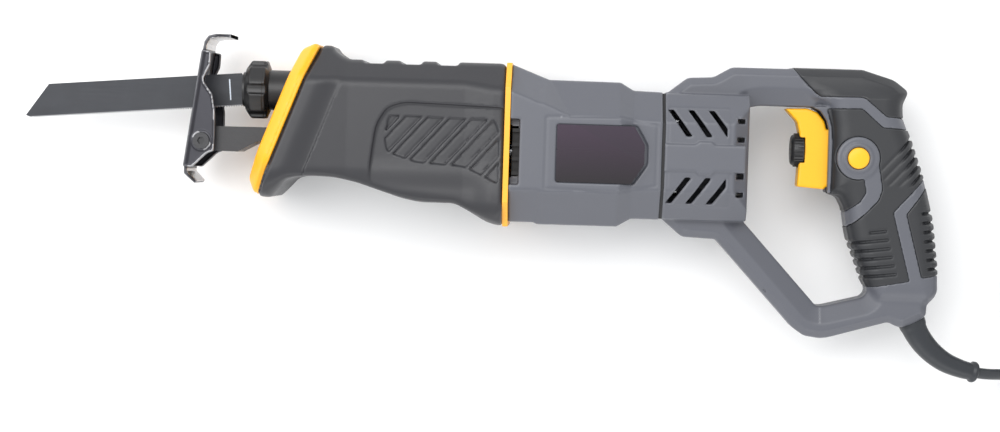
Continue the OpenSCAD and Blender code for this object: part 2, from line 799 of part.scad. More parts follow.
// Hand opening inside it
function hand_opening() = [
    [h + 47.5, 29.2], [h + 55, 30.6], [h + 92.5, 30.5], [h + 95.1, 19.6], [h + 95.6, 11.5],
    [h + 95.3, -17.5], [h + 100.9, -19.3], [h + 104.3, -25.7], [h + 105.9, -35.9], [h + 108.1, -44.8],
    [h + 112.3, -55], [h + 116.5, -66.4], [h + 118.8, -70.6], [h + 118.2, -74.5], [h + 115.9, -76.9],
    [h + 93.7, -82.6], [h + 89.9, -82.6], [h + 48.5, -37.5], [h + 46.5, -33], [h + 47.5, -20]];

// Part of the handle that is as wide as the hand grip
function grip_edge() = [
    [h + 93, 30.5], [h + 95.1, 19.6], [h + 95.6, 11.5], [h + 95.3, -17.5], [h + 100.9, -19.3],
    [h + 104.3, -25.7], [h + 105.9, -35.9], [h + 108.1, -44.8], [h + 112.3, -55], [h + 116.5, -66.4],
    [h + 118.8, -70.6], [h + 124, -79], [h + 153, -79], [h + 156.5, -75.2],
    [grip_back, -71.7], [h + 157.1, -57.8], [h + 153.8, -32.5], [h + 146.8, -5.6], [h + 139.9, 13.2],
    [h + 137.3, 18.8], [h + 134.5, 25.5], [h + 134, 33.6], [h + 137.1, 40.6], [h + 129.6, 46.6],
    [h + 114.5, 51.1], [h + 112, 51.9], [h + 70, 51.9], [h + 82, 36.6]];

exit_x = h + 145.5;
exit_y = -89.5;
exit_dir = -64;
gland_r = 7.5;

// Everything on the exit axis of the cord is drawn along +X and turned onto it
module at_exit() {
    translate([exit_x, exit_y, 0]) rotate([0, 0, exit_dir]) children();
}

// One half of the handle, drawn on the +Z side; shell is its wall, 0 for the solid outline
module handle_half_solid(shell) {
    guard_z = guard_w / 2 - shell;
    grip_z = grip_w / 2 - shell;
    low = shell > 0 ? -1 : 0;
    translate([0, 0, low]) linear_extrude(height = guard_z - low) offset(delta = -shell)
        difference() {
            polygon(handle_edge());
            polygon(hand_opening());
        }
    translate([0, 0, low]) linear_extrude(height = grip_z - low) offset(delta = -shell)
        polygon(grip_edge());
    intersection() {
        along_x(h + shell, h + 47.5 - shell)
            polygon(octagon(-35.4 + shell, 35.8 - shell, back_z - shell, 17, 16));
        block([h - 1, -50, low], [h + 60, 50, half_w]);
    }
}

boss_points = [[h + 20, 41], [h + 80, 44], [h + 126, 41], [h + 112, -87], [h + 62, -73], [h + 28, -41]];

module handle_vents() {
    lean = 18;
    for (i = [0 : 2]) {
        slab([[h + 1.5 + 11.5 * i, 26.5], [h + 5 + 11.5 * i, 26.5], [h + 5 + lean * 0.6 + 11.5 * i, 12],
              [h + 1.5 + lean * 0.6 + 11.5 * i, 12]], body_w);
        slab([[h + 1.5 + 11.5 * i, -26], [h + 5 + 11.5 * i, -26], [h + 5 + lean * 0.6 + 11.5 * i, -12],
              [h + 1.5 + lean * 0.6 + 11.5 * i, -12]], body_w);
    }
}

pad_t = 1.8;
pad_z = grip_w / 2 - 1.3;
button_x = h + 110;
button_y = 2.3;
boss_r = button_d / 2 + 6;

module handle_shell(left) {
    color([0.42, 0.43, 0.47])
    mirror([0, 0, left ? 0 : 1]) difference() {
        union() {
            difference() {
                handle_half_solid(0);
                handle_half_solid(wall);
            }
            for (p = boss_points)
                rod_z(0, guard_w / 2 - 1, 4, p[0], p[1]);
            intersection() {
                at_exit() rod_x(-14, 0, gland_r);
                block([h + 100, -110, 0], [h + 180, -60, gland_r]);
            }
            for (y = [-motor_screw_y, motor_screw_y])
                rod_x(h, h + 13, 4.5, y, motor_screw_z);
            if (left)
                rod_z(grip_w / 2 - wall, grip_w / 2 + 1.2, boss_r, button_x, button_y);
        }
        for (p = boss_points)
            rod_z(-1, guard_w / 2 + (left ? -2.5 : 2), 1.6, p[0], p[1]);
        if (!left)
            for (p = boss_points)
                rod_z(guard_w / 2 - 2.5, half_w, 3.2, p[0], p[1]);
        at_exit() rod_x(-20, 1, cord_d / 2 + 1);
        rod_x(h - 1, h + 12, 11 + eps);
        for (y = [-motor_screw_y, motor_screw_y])
            rod_x(h - 1, h + 13, 2.05, y, motor_screw_z);
        handle_vents();
        block([h + 85, -17.8, -1], [h + 104, 30.2, trigger_w / 2 + 0.4]);
        if (left)
            rod_z(0, grip_w, button_d / 2 + 0.2, button_x, button_y);
        translate([0, 0, pad_z]) linear_extrude(height = pad_t + 5)
            pad_outlines();
    }
}

// Rubber areas of one side of the grip, with the strip and ring of plastic left between them
module pad_outlines() {
    difference() {
        polygon([[h + 92.3, 29.8], [h + 111.5, 30.1], [h + 123.2, 19.9], [h + 139, 18.8],
            [h + 150, -6], [h + 130.6, -27.8], [h + 141, -66.4], [h + 118.8, -70.6], [h + 104, -70],
            [h + 90, -30], [h + 90, 20]]);
        translate([button_x, button_y]) circle(r = boss_r + 0.3);
        polygon([[h + 112.5, -5], [h + 115, -16.9], [h + 111.7, -22.4], [h + 98, -33], [h + 100, -41],
            [h + 110.8, -33], [h + 115.6, -28.5], [h + 122.3, -21.4], [h + 124.3, -15.1], [h + 121.7, 0]]);
    }
    polygon([[h + 151.5, -11], [h + 138.3, -28.7], [h + 147.9, -64.3], [h + 162, -61], [h + 162, -11]]);
    polygon([[h + 69.7, 53], [h + 138, 53], [h + 139, 40.6], [h + 136, 25.5], [h + 125.2, 26.2],
        [h + 113.6, 35.8], [h + 111.1, 36.8], [h + 87.7, 36.6], [h + 82.2, 41.4], [h + 76.4, 47.4]]);
}

module grip_pads(left) {
    color([0.14, 0.14, 0.15])
    mirror([0, 0, left ? 0 : 1]) intersection() {
        translate([0, 0, pad_z]) linear_extrude(height = pad_t) pad_outlines();
        translate([0, 0, pad_z - 1]) linear_extrude(height = pad_t + 2) polygon(grip_edge());
    }
}

module handle_screws() {
    color("silver")
    for (p = boss_points)
        difference() {
            union() {
                rod_z(-guard_w / 2 + 2, guard_w / 2 - 3, 1.5, p[0], p[1]);
                rod_z(-guard_w / 2 + 0.2, -guard_w / 2 + 2.4, 3, p[0], p[1]);
            }
            rod_z(-guard_w / 2 - 1, -guard_w / 2 + 1.4, 1.4, p[0], p[1], $fn = 6);
        }
}

switch_x0 = h + 107.5;

module power_switch() {
    color([0.1, 0.1, 0.11])
    difference() {
        block([switch_x0, -22, -11], [switch_x0 + 21.5, 24, 11]);
        rod_x(switch_x0 - 1, switch_x0 + 16, 3, 5.9);
    }
}

dial_r = 9.7;
dial_y = 5.9;
dial_x = h + 73;

module trigger() {
    color([1, 0.66, 0])
    difference() {
        union() {
            slab([[h + 68.8, 29.4], [h + 81.5, 29.8], [h + 87.5, 27.6], [h + 91.5, 22.6], [h + 92.8, 17.6],
                  [h + 93.3, -14.8], [h + 92.2, -16.1], [h + 76.8, -15], [h + 77.4, -3.7],
                  [h + 77.4, 15.3], [h + 75.7, 22.1], [h + 71.1, 27]], trigger_w);
            block([h + 88, -14, -trigger_w / 2], [h + 98, 18, trigger_w / 2]);
        }
        rod_x(h + 72, h + 80.8, dial_r + 0.4, dial_y);
        rod_x(h + 80, h + 87, 2 + run_fit, dial_y);
    }
}

// The spring seats in a pocket of the switch that is deep enough for its whole travel
module trigger_spring() {
    turns = 5;
    steps = 10;
    color("silver")
    tube([for (i = [0 : turns * steps])
            [h + 98.5 + 17 * i / (turns * steps), dial_y + 2.3 * cos(i * 36), 2.3 * sin(i * 36)]],
         [for (i = [0 : turns * steps]) 0.35], 6, [1, 0, 0]);
}

module speed_dial() {
    notches = 16;
    color([0.12, 0.12, 0.12])
    difference() {
        union() {
            rod_x(dial_x, dial_x + 7.5, dial_r, dial_y);
            rod_x(dial_x + 7, dial_x + 13, 2, dial_y);
        }
        for (i = [0 : notches - 1])
            translate([0, dial_y, 0]) rotate([i * 360 / notches, 0, 0])
                rod_x(dial_x + 2.5, dial_x + 8, 1.1, dial_r + 0.3);
    }
}

module lock_button() {
    color([1, 0.7, 0]) union() {
        rod_z(14.4, grip_w / 2 + 2.6, button_d / 2, button_x, button_y);
    }
}

module suppressor() {
    color([0.7, 0.65, 0.3]) block([h + 117, -50, -6], [h + 131, -32, 6]);
}

module cord_clamp() {
    color([0.1, 0.1, 0.1])
    difference() {
        at_exit() block([-30, -11, -9], [-24, 9, 9]);
        at_exit() rod_x(-31, -23, cord_d / 2 + 0.1);
    }
}

// ---- cord ----

// Strain relief: its own centre line, thick at the handle and thin at the cord
relief_path = [[0, 0, 0], [3, -6.6, 0], [7.5, -13, -1], [13.5, -18.9, -2], [21, -23.9, -3.5],
               [30, -27.4, -5.5], [39, -29.6, -8]];
function relief_r(i) = 7.4 - 2.4 * i / (len(relief_path) - 1);

module strain_relief() {
    path = [for (p = relief_path) p + [exit_x, exit_y, 0]];
    end = path[len(path) - 1];
    color([0.15, 0.16, 0.18]) {
        tube(path, [for (i = [0 : len(path) - 1]) relief_r(i)], 16);
        translate(end) rotate([0, 15, -12]) rod_x(-0.5, 2.5, 6.2);
    }
}

// Free cord from the relief to the coil, in the saw's frame, then down onto the table
cord_route = [[273, -119.1, -8], [280, -120, -10.6], [287, -120.4, -14.8], [294, -120.5, -20],
              [301, -120.5, -25.4], [308, -120.5, -30.2], [315, -120.5, -33.8], [322, -120.5, -35.9],
              [330, -120.5, -36.7], [338, -120.5, -36.75], [346, -120.5, -36.75]];
coil_mid = [346, -75.2, -40];
coil_in_r = 22.5;
coil_out_r = coil_in_r + coil_turns * cord_d;
plug_y = -40;

// The cord's route is for the chosen sizes; it moves with the handle and stays on the table
module on_table() {
    translate([h - 88.5, 0, 40 - half_w]) children();
}

module power_cord() {
    color([0.15, 0.16, 0.18]) at_exit() rod_x(-34, -0.2, cord_d / 2);
    color([0.15, 0.16, 0.18]) on_table() {
        tube(cord_route, [for (p = cord_route) cord_d / 2], 12);
        lead = [for (y = [-75.2 : 8 : plug_y]) [coil_mid[0] + coil_out_r - cord_d / 2, y, -40 + cord_d * 1.5]];
        tube(lead, [for (p = lead) cord_d / 2], 12);
    }
}

module cord_coil() {
    color([0.15, 0.16, 0.18]) on_table()
    translate(coil_mid) difference() {
        cylinder(h = 2 * cord_d, r = coil_out_r);
        translate([0, 0, -1]) cylinder(h = 2 * cord_d + 2, r = coil_in_r);
        block([coil_out_r - cord_d - 0.2, -3, cord_d - 0.1], [coil_out_r + 1, 60, 2 * cord_d + 1]);
        translate([0, -coil_out_r - 1, -1]) block([-27, 0, 0], [0.2, cord_d + 1.3, cord_d + 3]);
    }
}

module cord_clip() {
    t = 1.2;
    color([0.1, 0.1, 0.1]) on_table()
    translate(coil_mid) rotate([0, 0, 90]) difference() {
        block([coil_in_r - t - 0.9, -5, 0.5], [coil_out_r + t + 0.2, 5, 2 * cord_d + t + 0.2]);
        block([coil_in_r - 0.9, -6, -1], [coil_out_r + 0.2, 6, 2 * cord_d + 0.2]);
    }
}

plug_x = coil_mid[0] + coil_out_r - cord_d / 2;
plug_z = -40 + cord_d * 1.5;

module mains_plug() {
    color([0.12, 0.12, 0.13]) on_table()
    translate([plug_x, plug_y, plug_z]) union() {
        translate([0, 14, -9.75]) linear_extrude(height = 19.5)
            polygon([[-7, 0], [-15, 8], [-17.5, 20], [-17.5, 38], [17.5, 38], [17.5, 20], [15, 8], [7, 0]]);
        rotate([-90, 0, 0]) cylinder(h = 14.5, r1 = 4.6, r2 = 6);
    }
}

module plug_pins() {
    color("silver") on_table()
    for (s = [-1, 1])
        translate([plug_x + s * 9.5, plug_y + 52, plug_z]) rotate([-90, 0, 0]) cylinder(h = 19, r = 2.4);
}

placed() saw_blade();
placed() clamp_core();
placed() clamp_collar();
placed() collar_spring();
placed() blade_pin();
placed() plunger_rod();
placed() plunger_yoke();
placed() front_bushing();
placed() rod_seal();
placed() rear_bushing();
placed() gearbox_case();
placed() gearbox_cover();
placed() gearbox_screws();
placed() bearing_plate();
placed() crank_gear();
placed() crank_bearing();
placed() crank_roller();
placed() shoe_bracket();
placed() shoe();
placed() shoe_pivot();
placed() nose_ring();
placed() front_boot();
placed() accent_ring();
placed() motor_housing();
placed() badge(1);  // badge_left
placed() badge(-1);  // badge_right
placed() vent_screen();
placed() field_core();
placed() field_coils();
placed() armature_shaft();
placed() armature_core();
placed() armature_winding();
placed() commutator();
placed() drive_pinion();
placed() cooling_fan();
placed() front_motor_bearing();
placed() rear_motor_bearing();
placed() brush_holders();
placed() carbon_brushes();
placed() brush_springs();
placed() motor_screws();
placed() handle_seal();
placed() handle_shell(true);  // handle_left
placed() handle_shell(false);  // handle_right
placed() grip_pads(true);  // grip_left
placed() grip_pads(false);  // grip_right
placed() handle_screws();
placed() power_switch();
placed() trigger();
placed() trigger_spring();
placed() speed_dial();
placed() lock_button();
placed() suppressor();
placed() cord_clamp();
placed() strain_relief();
placed() power_cord();
placed() cord_coil();
placed() cord_clip();
placed() mains_plug();
placed() plug_pins();
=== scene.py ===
import math

import bpy
import numpy as np
from mathutils import Matrix, Vector


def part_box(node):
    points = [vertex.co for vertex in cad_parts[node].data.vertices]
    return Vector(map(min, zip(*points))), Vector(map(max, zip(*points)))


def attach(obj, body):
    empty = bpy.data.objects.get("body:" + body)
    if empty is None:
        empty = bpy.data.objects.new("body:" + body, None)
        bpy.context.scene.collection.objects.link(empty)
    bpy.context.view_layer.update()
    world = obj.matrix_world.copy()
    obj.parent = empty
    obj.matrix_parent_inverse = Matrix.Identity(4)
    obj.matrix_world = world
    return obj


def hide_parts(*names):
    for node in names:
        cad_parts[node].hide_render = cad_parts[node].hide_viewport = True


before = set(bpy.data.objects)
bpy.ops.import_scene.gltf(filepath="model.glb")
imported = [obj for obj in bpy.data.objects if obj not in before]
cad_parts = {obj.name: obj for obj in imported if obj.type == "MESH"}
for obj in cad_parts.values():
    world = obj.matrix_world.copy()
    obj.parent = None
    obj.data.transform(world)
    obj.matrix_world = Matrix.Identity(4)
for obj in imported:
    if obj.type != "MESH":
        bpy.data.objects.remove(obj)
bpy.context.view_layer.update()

# ---- The saw's own frame ---------------------------------------------------------------
# Sizes below are millimetres from the point where the accent ring crosses the motor axis,
# the way the maker's drawings would give them. The frame's own boxes say where that is.
ring_low, ring_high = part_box("accent_ring")
core_low, core_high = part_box("armature_core")
ORIGIN = np.array([(ring_low.x + ring_high.x) / 2, (core_low.y + core_high.y) / 2,
                   (core_low.z + core_high.z) / 2])
HALF_W = (ring_high.z - ring_low.z) * 500
TABLE_Z = -ORIGIN[2] * 1000


def saw(x, y, z=0.0):
    """A point of the saw, in millimetres from its own origin, in the row frame in metres."""
    return Vector((ORIGIN[0] + x / 1000, ORIGIN[1] + y / 1000, ORIGIN[2] + z / 1000))


# ---- Camera, light and table -----------------------------------------------------------
# A long lens looks straight down on the saw as it lies on its side. Three wide soft boxes and
# a pale room light it, and the table is matt white.
VIEW_FROM = (35.5, 1.8, 1300)
VIEW_TO = (-3.6, -37.4, 0)
ROLL = math.radians(1.8)

camera_data = bpy.data.cameras.new("camera")
camera_data.lens = 81.3
camera_data.sensor_width = 36
camera_data.clip_start = 0.05
camera_data.clip_end = 20
camera = bpy.data.objects.new("camera", camera_data)
bpy.context.scene.collection.objects.link(camera)
bpy.context.scene.camera = camera
eye = saw(*VIEW_FROM)
back = (eye - saw(*VIEW_TO)).normalized()
up = Vector((-math.sin(ROLL), math.cos(ROLL), 0))
right = up.cross(back).normalized()
up = back.cross(right)
camera.matrix_world = Matrix((
    (right.x, up.x, back.x, eye.x),
    (right.y, up.y, back.y, eye.y),
    (right.z, up.z, back.z, eye.z),
    (0, 0, 0, 1)))


def soft_box(name, place, aim, size, power):
    data = bpy.data.lights.new(name, "AREA")
    data.shape = "RECTANGLE"
    data.size, data.size_y = size
    data.energy = power
    lamp = bpy.data.objects.new(name, data)
    bpy.context.scene.collection.objects.link(lamp)
    lamp.location = place
    lamp.rotation_mode = "QUATERNION"
    lamp.rotation_quaternion = (Vector(place) - Vector(aim)).to_track_quat("Z", "Y")


soft_box("key_light", (-0.25, 0.45, 1.35), (0, 0, 0.03), (1.5, 0.7), 13)
soft_box("rim_light", (-1.0, 0.5, 0.45), (-0.05, 0, 0.03), (0.5, 0.8), 3)
soft_box("low_light", (0.2, -1.0, 0.5), (0, 0, 0.03), (1.4, 0.3), 3)

room = bpy.data.worlds.new("room")
bpy.context.scene.world = room
room.use_nodes = True
room.node_tree.nodes["Background"].inputs["Color"].default_value = (0.98, 0.99, 1, 1)
room.node_tree.nodes["Background"].inputs["Strength"].default_value = 0.95
bpy.context.scene.view_settings.view_transform = "Standard"

table_mesh = bpy.data.meshes.new("table")
table_mesh.from_pydata([(-6, -6, 0), (6, -6, 0), (6, 6, 0), (-6, 6, 0)], [], [(0, 1, 2, 3)])
table = bpy.data.objects.new("table", table_mesh)
table.location.z = -0.0004
bpy.context.scene.collection.objects.link(table)
table_paint = bpy.data.materials.new("table_paint")
table_paint.use_nodes = True
table_paint.node_tree.nodes["Principled BSDF"].inputs["Base Color"].default_value = (0.93, 0.93, 0.93, 1)
table_paint.node_tree.nodes["Principled BSDF"].inputs["Roughness"].default_value = 0.9
table_mesh.materials.append(table_paint)


# ---- Mains cord ------------------------------------------------------------------------
# Round rubber-sheathed two-core flex. It leaves the lower corner of the grip through its
# strain relief, sinks to the table and is put away in a neat coil of two layers.
CORD_D = 6.5
coil_low, coil_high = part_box("cord_coil")
COIL = ((coil_low.x + coil_high.x) / 2, (coil_low.y + coil_high.y) / 2)
COIL = ((COIL[0] - ORIGIN[0]) * 1000, (COIL[1] - ORIGIN[1]) * 1000)
COIL_R = (coil_high.x - coil_low.x) * 500 - CORD_D / 2
COIL_LANES = 4
EXIT = (234.0, -89.5, 0.0)
RELIEF_LINE = [(0, 0, 0), (3, -6.6, 0), (7.5, -13, -1), (13.5, -18.9, -2), (21, -23.9, -3.5),
               (30, -27.4, -5.5), (39, -29.6, -8)]
CORD_ROUTE = [(280, -120, -10.6), (287, -120.4, -14.8), (294, -120.5, -20), (301, -120.5, -25.4),
              (308, -120.5, -30.2), (315, -120.5, -33.8), (322, -120.5, -35.9), (330, -120.5, -36.7),
              (338, -120.5, -36.75)]
PLUG_START = -40.0


def ease(t):
    t = np.clip(t, 0, 1)
    return t * t * (3 - 2 * t)


def smooth_line(points, spacing):
    """Catmull-Rom curve through the points, as evenly spaced as they are."""
    p = np.array(points, float)
    p = np.vstack([2 * p[0] - p[1], p, 2 * p[-1] - p[-2]])
    out = []
    for i in range(1, len(p) - 2):
        a, b, c, d = p[i - 1:i + 3]
        for t in np.arange(0, 1, spacing / max(np.linalg.norm(c - b), spacing)):
            out.append(0.5 * (2 * b + (c - a) * t + (2 * a - 5 * b + 4 * c - d) * t ** 2
                              + (3 * b - a - 3 * c + d) * t ** 3))
    out.append(p[-2])
    return np.array(out)


def coil_line():
    """Four lanes inwards on the table, then outwards on top of them, a cord apart."""
    inner = COIL_R - (COIL_LANES - 1) * CORD_D
    line = []
    for degrees in np.arange(-90, 2521, 10):
        inward = sum(float(ease((degrees - (210 + 360 * k)) / 60)) for k in range(COIL_LANES - 1))
        outward = sum(float(ease((degrees - (1530 + 360 * k)) / 60)) for k in range(COIL_LANES - 1))
        r = COIL_R - CORD_D * (inward - outward)
        z = TABLE_Z + CORD_D / 2 + CORD_D * float(ease((degrees - 1230) / 60))
        a = math.radians(degrees)
        line.append((COIL[0] + max(r, inner) * math.cos(a), COIL[1] + r * math.sin(a), z))
    return line


relief_line = [(EXIT[0] + x, EXIT[1] + y, EXIT[2] + z) for x, y, z in RELIEF_LINE]
top_z = TABLE_Z + CORD_D * 1.5
lead = [(COIL[0] + COIL_R, COIL[1] + s, top_z) for s in (9, 18, 27)] + [
    (COIL[0] + COIL_R, PLUG_START, top_z)]
cord_points = [EXIT] + relief_line[1:] + CORD_ROUTE + coil_line() + lead
cord_curve = bpy.data.curves.new("mains_cord", "CURVE")
cord_curve.dimensions = "3D"
cord_curve.bevel_depth = CORD_D / 2000
cord_curve.bevel_resolution = 3
cord_curve.resolution_u = 3
cord_curve.use_fill_caps = True
spline = cord_curve.splines.new("BEZIER")
spline.bezier_points.add(len(cord_points) - 1)
for knot, p in zip(spline.bezier_points, cord_points):
    knot.co = saw(*p)
    knot.handle_left_type = knot.handle_right_type = "AUTO"
mains_cord = bpy.data.objects.new("mains_cord", cord_curve)
bpy.context.scene.collection.objects.link(mains_cord)


def shader_group(name, inputs, outputs):
    """An empty shader node group with its sockets: (name, kind, default) each."""
    tree = bpy.data.node_groups.new(name, "ShaderNodeTree")
    for label, kind, default in inputs:
        socket = tree.interface.new_socket(label, in_out="INPUT", socket_type="NodeSocket" + kind)
        socket.default_value = default
    for label, kind in outputs:
        tree.interface.new_socket(label, in_out="OUTPUT", socket_type="NodeSocket" + kind)
    return tree, tree.nodes.new("NodeGroupInput"), tree.nodes.new("NodeGroupOutput")


def node_of(tree, kind, **settings):
    node = tree.nodes.new("ShaderNode" + kind)
    for key, value in settings.items():
        setattr(node, key, value)
    return node


def math_node(tree, operation, a, b=None, c=None):
    node = node_of(tree, "Math", operation=operation)
    for socket, value in zip(node.inputs, (a, b, c)):
        if value is None:
            continue
        if isinstance(value, (int, float)):
            socket.default_value = value
        else:
            tree.links.new(value, socket)
    return node.outputs[0]


def noise(tree, scale, detail=2.0, roughness=0.5, stretch=None):
    place = node_of(tree, "TexCoord").outputs["Object"]
    if stretch is not None:
        mapping = node_of(tree, "Mapping")
        mapping.inputs["Scale"].default_value = stretch
        tree.links.new(place, mapping.inputs["Vector"])
        place = mapping.outputs["Vector"]
    node = node_of(tree, "TexNoise")
    tree.links.new(place, node.inputs["Vector"])
    node.inputs["Detail"].default_value = detail
    node.inputs["Roughness"].default_value = roughness
    if isinstance(scale, (int, float)):
        node.inputs["Scale"].default_value = scale
    else:
        tree.links.new(scale, node.inputs["Scale"])
    return node.outputs["Fac"]


def spread(tree, texture, gain, base):
    """The base value, moved up and down by a texture that runs from 0 to 1."""
    return math_node(tree, "MULTIPLY_ADD", math_node(tree, "SUBTRACT", texture, 0.5), gain, base)


def product(tree, first, *others):
    for other in others:
        first = math_node(tree, "MULTIPLY", first, other)
    return first


def blend_colour(tree, factor, a, b):
    node = node_of(tree, "Mix", data_type="RGBA")
    for socket, value in ((node.inputs[0], factor), (node.inputs[6], a), (node.inputs[7], b)):
        if isinstance(value, (int, float, tuple)):
            socket.default_value = value
        else:
            tree.links.new(value, socket)
    return node.outputs[2]


def build_moulded_group():
    """Moulded plastic or rubber: spark-eroded grain, faint mottling, paler rubbed edges."""
    tree, enter, leave = shader_group(
        "moulded_surface",
        [("Color", "Color", (0.5, 0.5, 0.5, 1)), ("Grain per m", "Float", 2500.0),
         ("Mottle", "Float", 0.1), ("Wear", "Float", 0.3), ("Roughness", "Float", 0.5)],
        [("Color", "Color"), ("Roughness", "Float"), ("Height", "Float")])
    grain = noise(tree, enter.outputs["Grain per m"], 3)
    broad = noise(tree, 38.0, 4, 0.6)
    scuffs = noise(tree, 260.0, 3, 0.7, (1.0, 4.0, 1.0))
    shade = spread(tree, broad, enter.outputs["Mottle"], 1.0)
    fine = spread(tree, grain, 0.16, shade)
    toned = node_of(tree, "VectorMath", operation="SCALE")
    tree.links.new(enter.outputs["Color"], toned.inputs[0])
    tree.links.new(fine, toned.inputs["Scale"])
    edge = node_of(tree, "MapRange")
    edge.inputs["From Min"].default_value = 0.52
    edge.inputs["From Max"].default_value = 0.62
    tree.links.new(node_of(tree, "NewGeometry").outputs["Pointiness"], edge.inputs["Value"])
    rubbed = product(tree, edge.outputs[0], enter.outputs["Wear"], scuffs)
    colour = blend_colour(tree, rubbed, toned.outputs[0], (0.62, 0.62, 0.64, 1))
    tree.links.new(colour, leave.inputs["Color"])
    rough = spread(tree, scuffs, 0.18, enter.outputs["Roughness"])
    rough = spread(tree, grain, 0.12, rough)
    tree.links.new(rough, leave.inputs["Roughness"])
    tree.links.new(grain, leave.inputs["Height"])
    return tree


moulded_group = build_moulded_group()


def principled(name):
    material = bpy.data.materials.new(name)
    material.use_nodes = True
    tree = material.node_tree
    return material, tree, tree.nodes["Principled BSDF"]


def moulded(name, colour, roughness, grain=2200.0, depth=0.00004, mottle=0.12, wear=0.25, coat=0.0):
    """A moulded plastic or rubber of the saw, with its own grain and shine."""
    material, tree, shader = principled(name)
    skin = node_of(tree, "Group")
    skin.node_tree = moulded_group
    skin.inputs["Color"].default_value = (*colour, 1)
    skin.inputs["Grain per m"].default_value = grain
    skin.inputs["Mottle"].default_value = mottle
    skin.inputs["Wear"].default_value = wear
    skin.inputs["Roughness"].default_value = roughness
    tree.links.new(skin.outputs["Color"], shader.inputs["Base Color"])
    tree.links.new(skin.outputs["Roughness"], shader.inputs["Roughness"])
    bump = node_of(tree, "Bump")
    bump.inputs["Strength"].default_value = 0.6
    bump.inputs["Distance"].default_value = depth
    tree.links.new(skin.outputs["Height"], bump.inputs["Height"])
    tree.links.new(bump.outputs["Normal"], shader.inputs["Normal"])
    if coat:
        shader.inputs["Coat Weight"].default_value = coat
        shader.inputs["Coat Roughness"].default_value = 0.12
    return material


cord_rubber = moulded("cord_rubber", (0.02, 0.023, 0.028), 0.42, 1500, 0.00003, 0.2, 0.1)
cord_curve.materials.append(cord_rubber)
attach(mains_cord, "body")
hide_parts("power_cord", "cord_coil")


def show_cad(material, *nodes):
    """Gives CAD nodes that keep their shape their real finish."""
    for name in nodes:
        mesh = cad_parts[name].data
        mesh.materials.clear()
        mesh.materials.append(material)


def new_piece(name, vertices, faces, body, materials, smooth=True):
    """A piece from vertices in millimetres of the saw's own frame."""
    mesh = bpy.data.meshes.new(name)
    places = np.asarray(vertices, float) / 1000 + ORIGIN
    mesh.from_pydata(places.tolist(), [], [tuple(int(i) for i in f) for f in faces])
    for material in materials:
        mesh.materials.append(material)
    if smooth:
        mesh.shade_smooth()
    piece = bpy.data.objects.new(name, mesh)
    bpy.context.scene.collection.objects.link(piece)
    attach(piece, body)
    return piece


# ---- Strain relief, plug and tie -------------------------------------------------------
# A tapered rubber boot bends with the cord and ends in a collar. The plug is a moulded
# two-pin one, and a flat tie holds the coil.
def ring_faces(rings, sides):
    """Faces between stacked rings of points, with both ends closed."""
    faces = []
    for i in range(rings - 1):
        here, above = i * sides, (i + 1) * sides
        for k in range(sides):
            after = (k + 1) % sides
            faces.append((here + k, here + after, above + after, above + k))
    faces.append(tuple(range(sides))[::-1])
    faces.append(tuple((rings - 1) * sides + k for k in range(sides)))
    return faces


def loft(line, radii, sides=28):
    """A round skin along a line with a radius at each of its points, closed at both ends."""
    line = np.asarray(line, float)
    along = np.gradient(line, axis=0)
    along /= np.linalg.norm(along, axis=1)[:, None]
    across = np.cross(along, (0, 0, 1.0))
    across /= np.linalg.norm(across, axis=1)[:, None]
    upward = np.cross(across, along)
    turn = np.arange(sides) * 2 * math.pi / sides
    round_it = (np.cos(turn)[None, :, None] * across[:, None]
                + np.sin(turn)[None, :, None] * upward[:, None])
    rings = line[:, None] + np.asarray(radii)[:, None, None] * round_it
    return rings.reshape(-1, 3), ring_faces(len(line), sides)


relief_curve = smooth_line(relief_line, 0.8)
share = np.linspace(0, 1, len(relief_curve))
relief_r = 7.4 - 2.6 * share
relief_r += np.where(share < 0.1, 0.5 * ease((0.1 - share) / 0.04), 0)
relief_r += 1.25 * ease((share - 0.94) / 0.02) * ease((1.012 - share) / 0.02)
relief_r[0] -= 0.6
verts, faces = loft(relief_curve, relief_r)
relief_boot = new_piece("relief_boot", verts, faces, "body", [cord_rubber])
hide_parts("strain_relief")

black_plastic = moulded("black_plastic", (0.014, 0.014, 0.015), 0.38, 2600, 0.00003, 0.1, 0.04)
show_cad(black_plastic, "mains_plug", "cord_clip", "cord_clamp", "power_switch")


def build_metal_group():
    """Machined or drawn metal: lay lines along X, cloudy stains and bright rubbed edges."""
    tree, enter, leave = shader_group(
        "worked_metal",
        [("Color", "Color", (0.5, 0.5, 0.5, 1)), ("Worn Color", "Color", (0.8, 0.8, 0.8, 1)),
         ("Roughness", "Float", 0.35), ("Wear", "Float", 0.3), ("Stain", "Float", 0.2)],
        [("Color", "Color"), ("Roughness", "Float"), ("Height", "Float")])
    lay = noise(tree, 900.0, 2, 0.6, (0.06, 3.0, 3.0))
    cloud = noise(tree, 70.0, 5, 0.65)
    shade = spread(tree, cloud, enter.outputs["Stain"], 1.0)
    shade = spread(tree, lay, 0.25, shade)
    toned = node_of(tree, "VectorMath", operation="SCALE")
    tree.links.new(enter.outputs["Color"], toned.inputs[0])
    tree.links.new(shade, toned.inputs["Scale"])
    edge = node_of(tree, "MapRange")
    edge.inputs["From Min"].default_value = 0.51
    edge.inputs["From Max"].default_value = 0.6
    tree.links.new(node_of(tree, "NewGeometry").outputs["Pointiness"], edge.inputs["Value"])
    rubbed = product(tree, edge.outputs[0], cloud, enter.outputs["Wear"])
    colour = blend_colour(tree, rubbed, toned.outputs[0], enter.outputs["Worn Color"])
    tree.links.new(colour, leave.inputs["Color"])
    rough = spread(tree, lay, 0.3, enter.outputs["Roughness"])
    tree.links.new(rough, leave.inputs["Roughness"])
    tree.links.new(lay, leave.inputs["Height"])
    return tree


metal_group = build_metal_group()


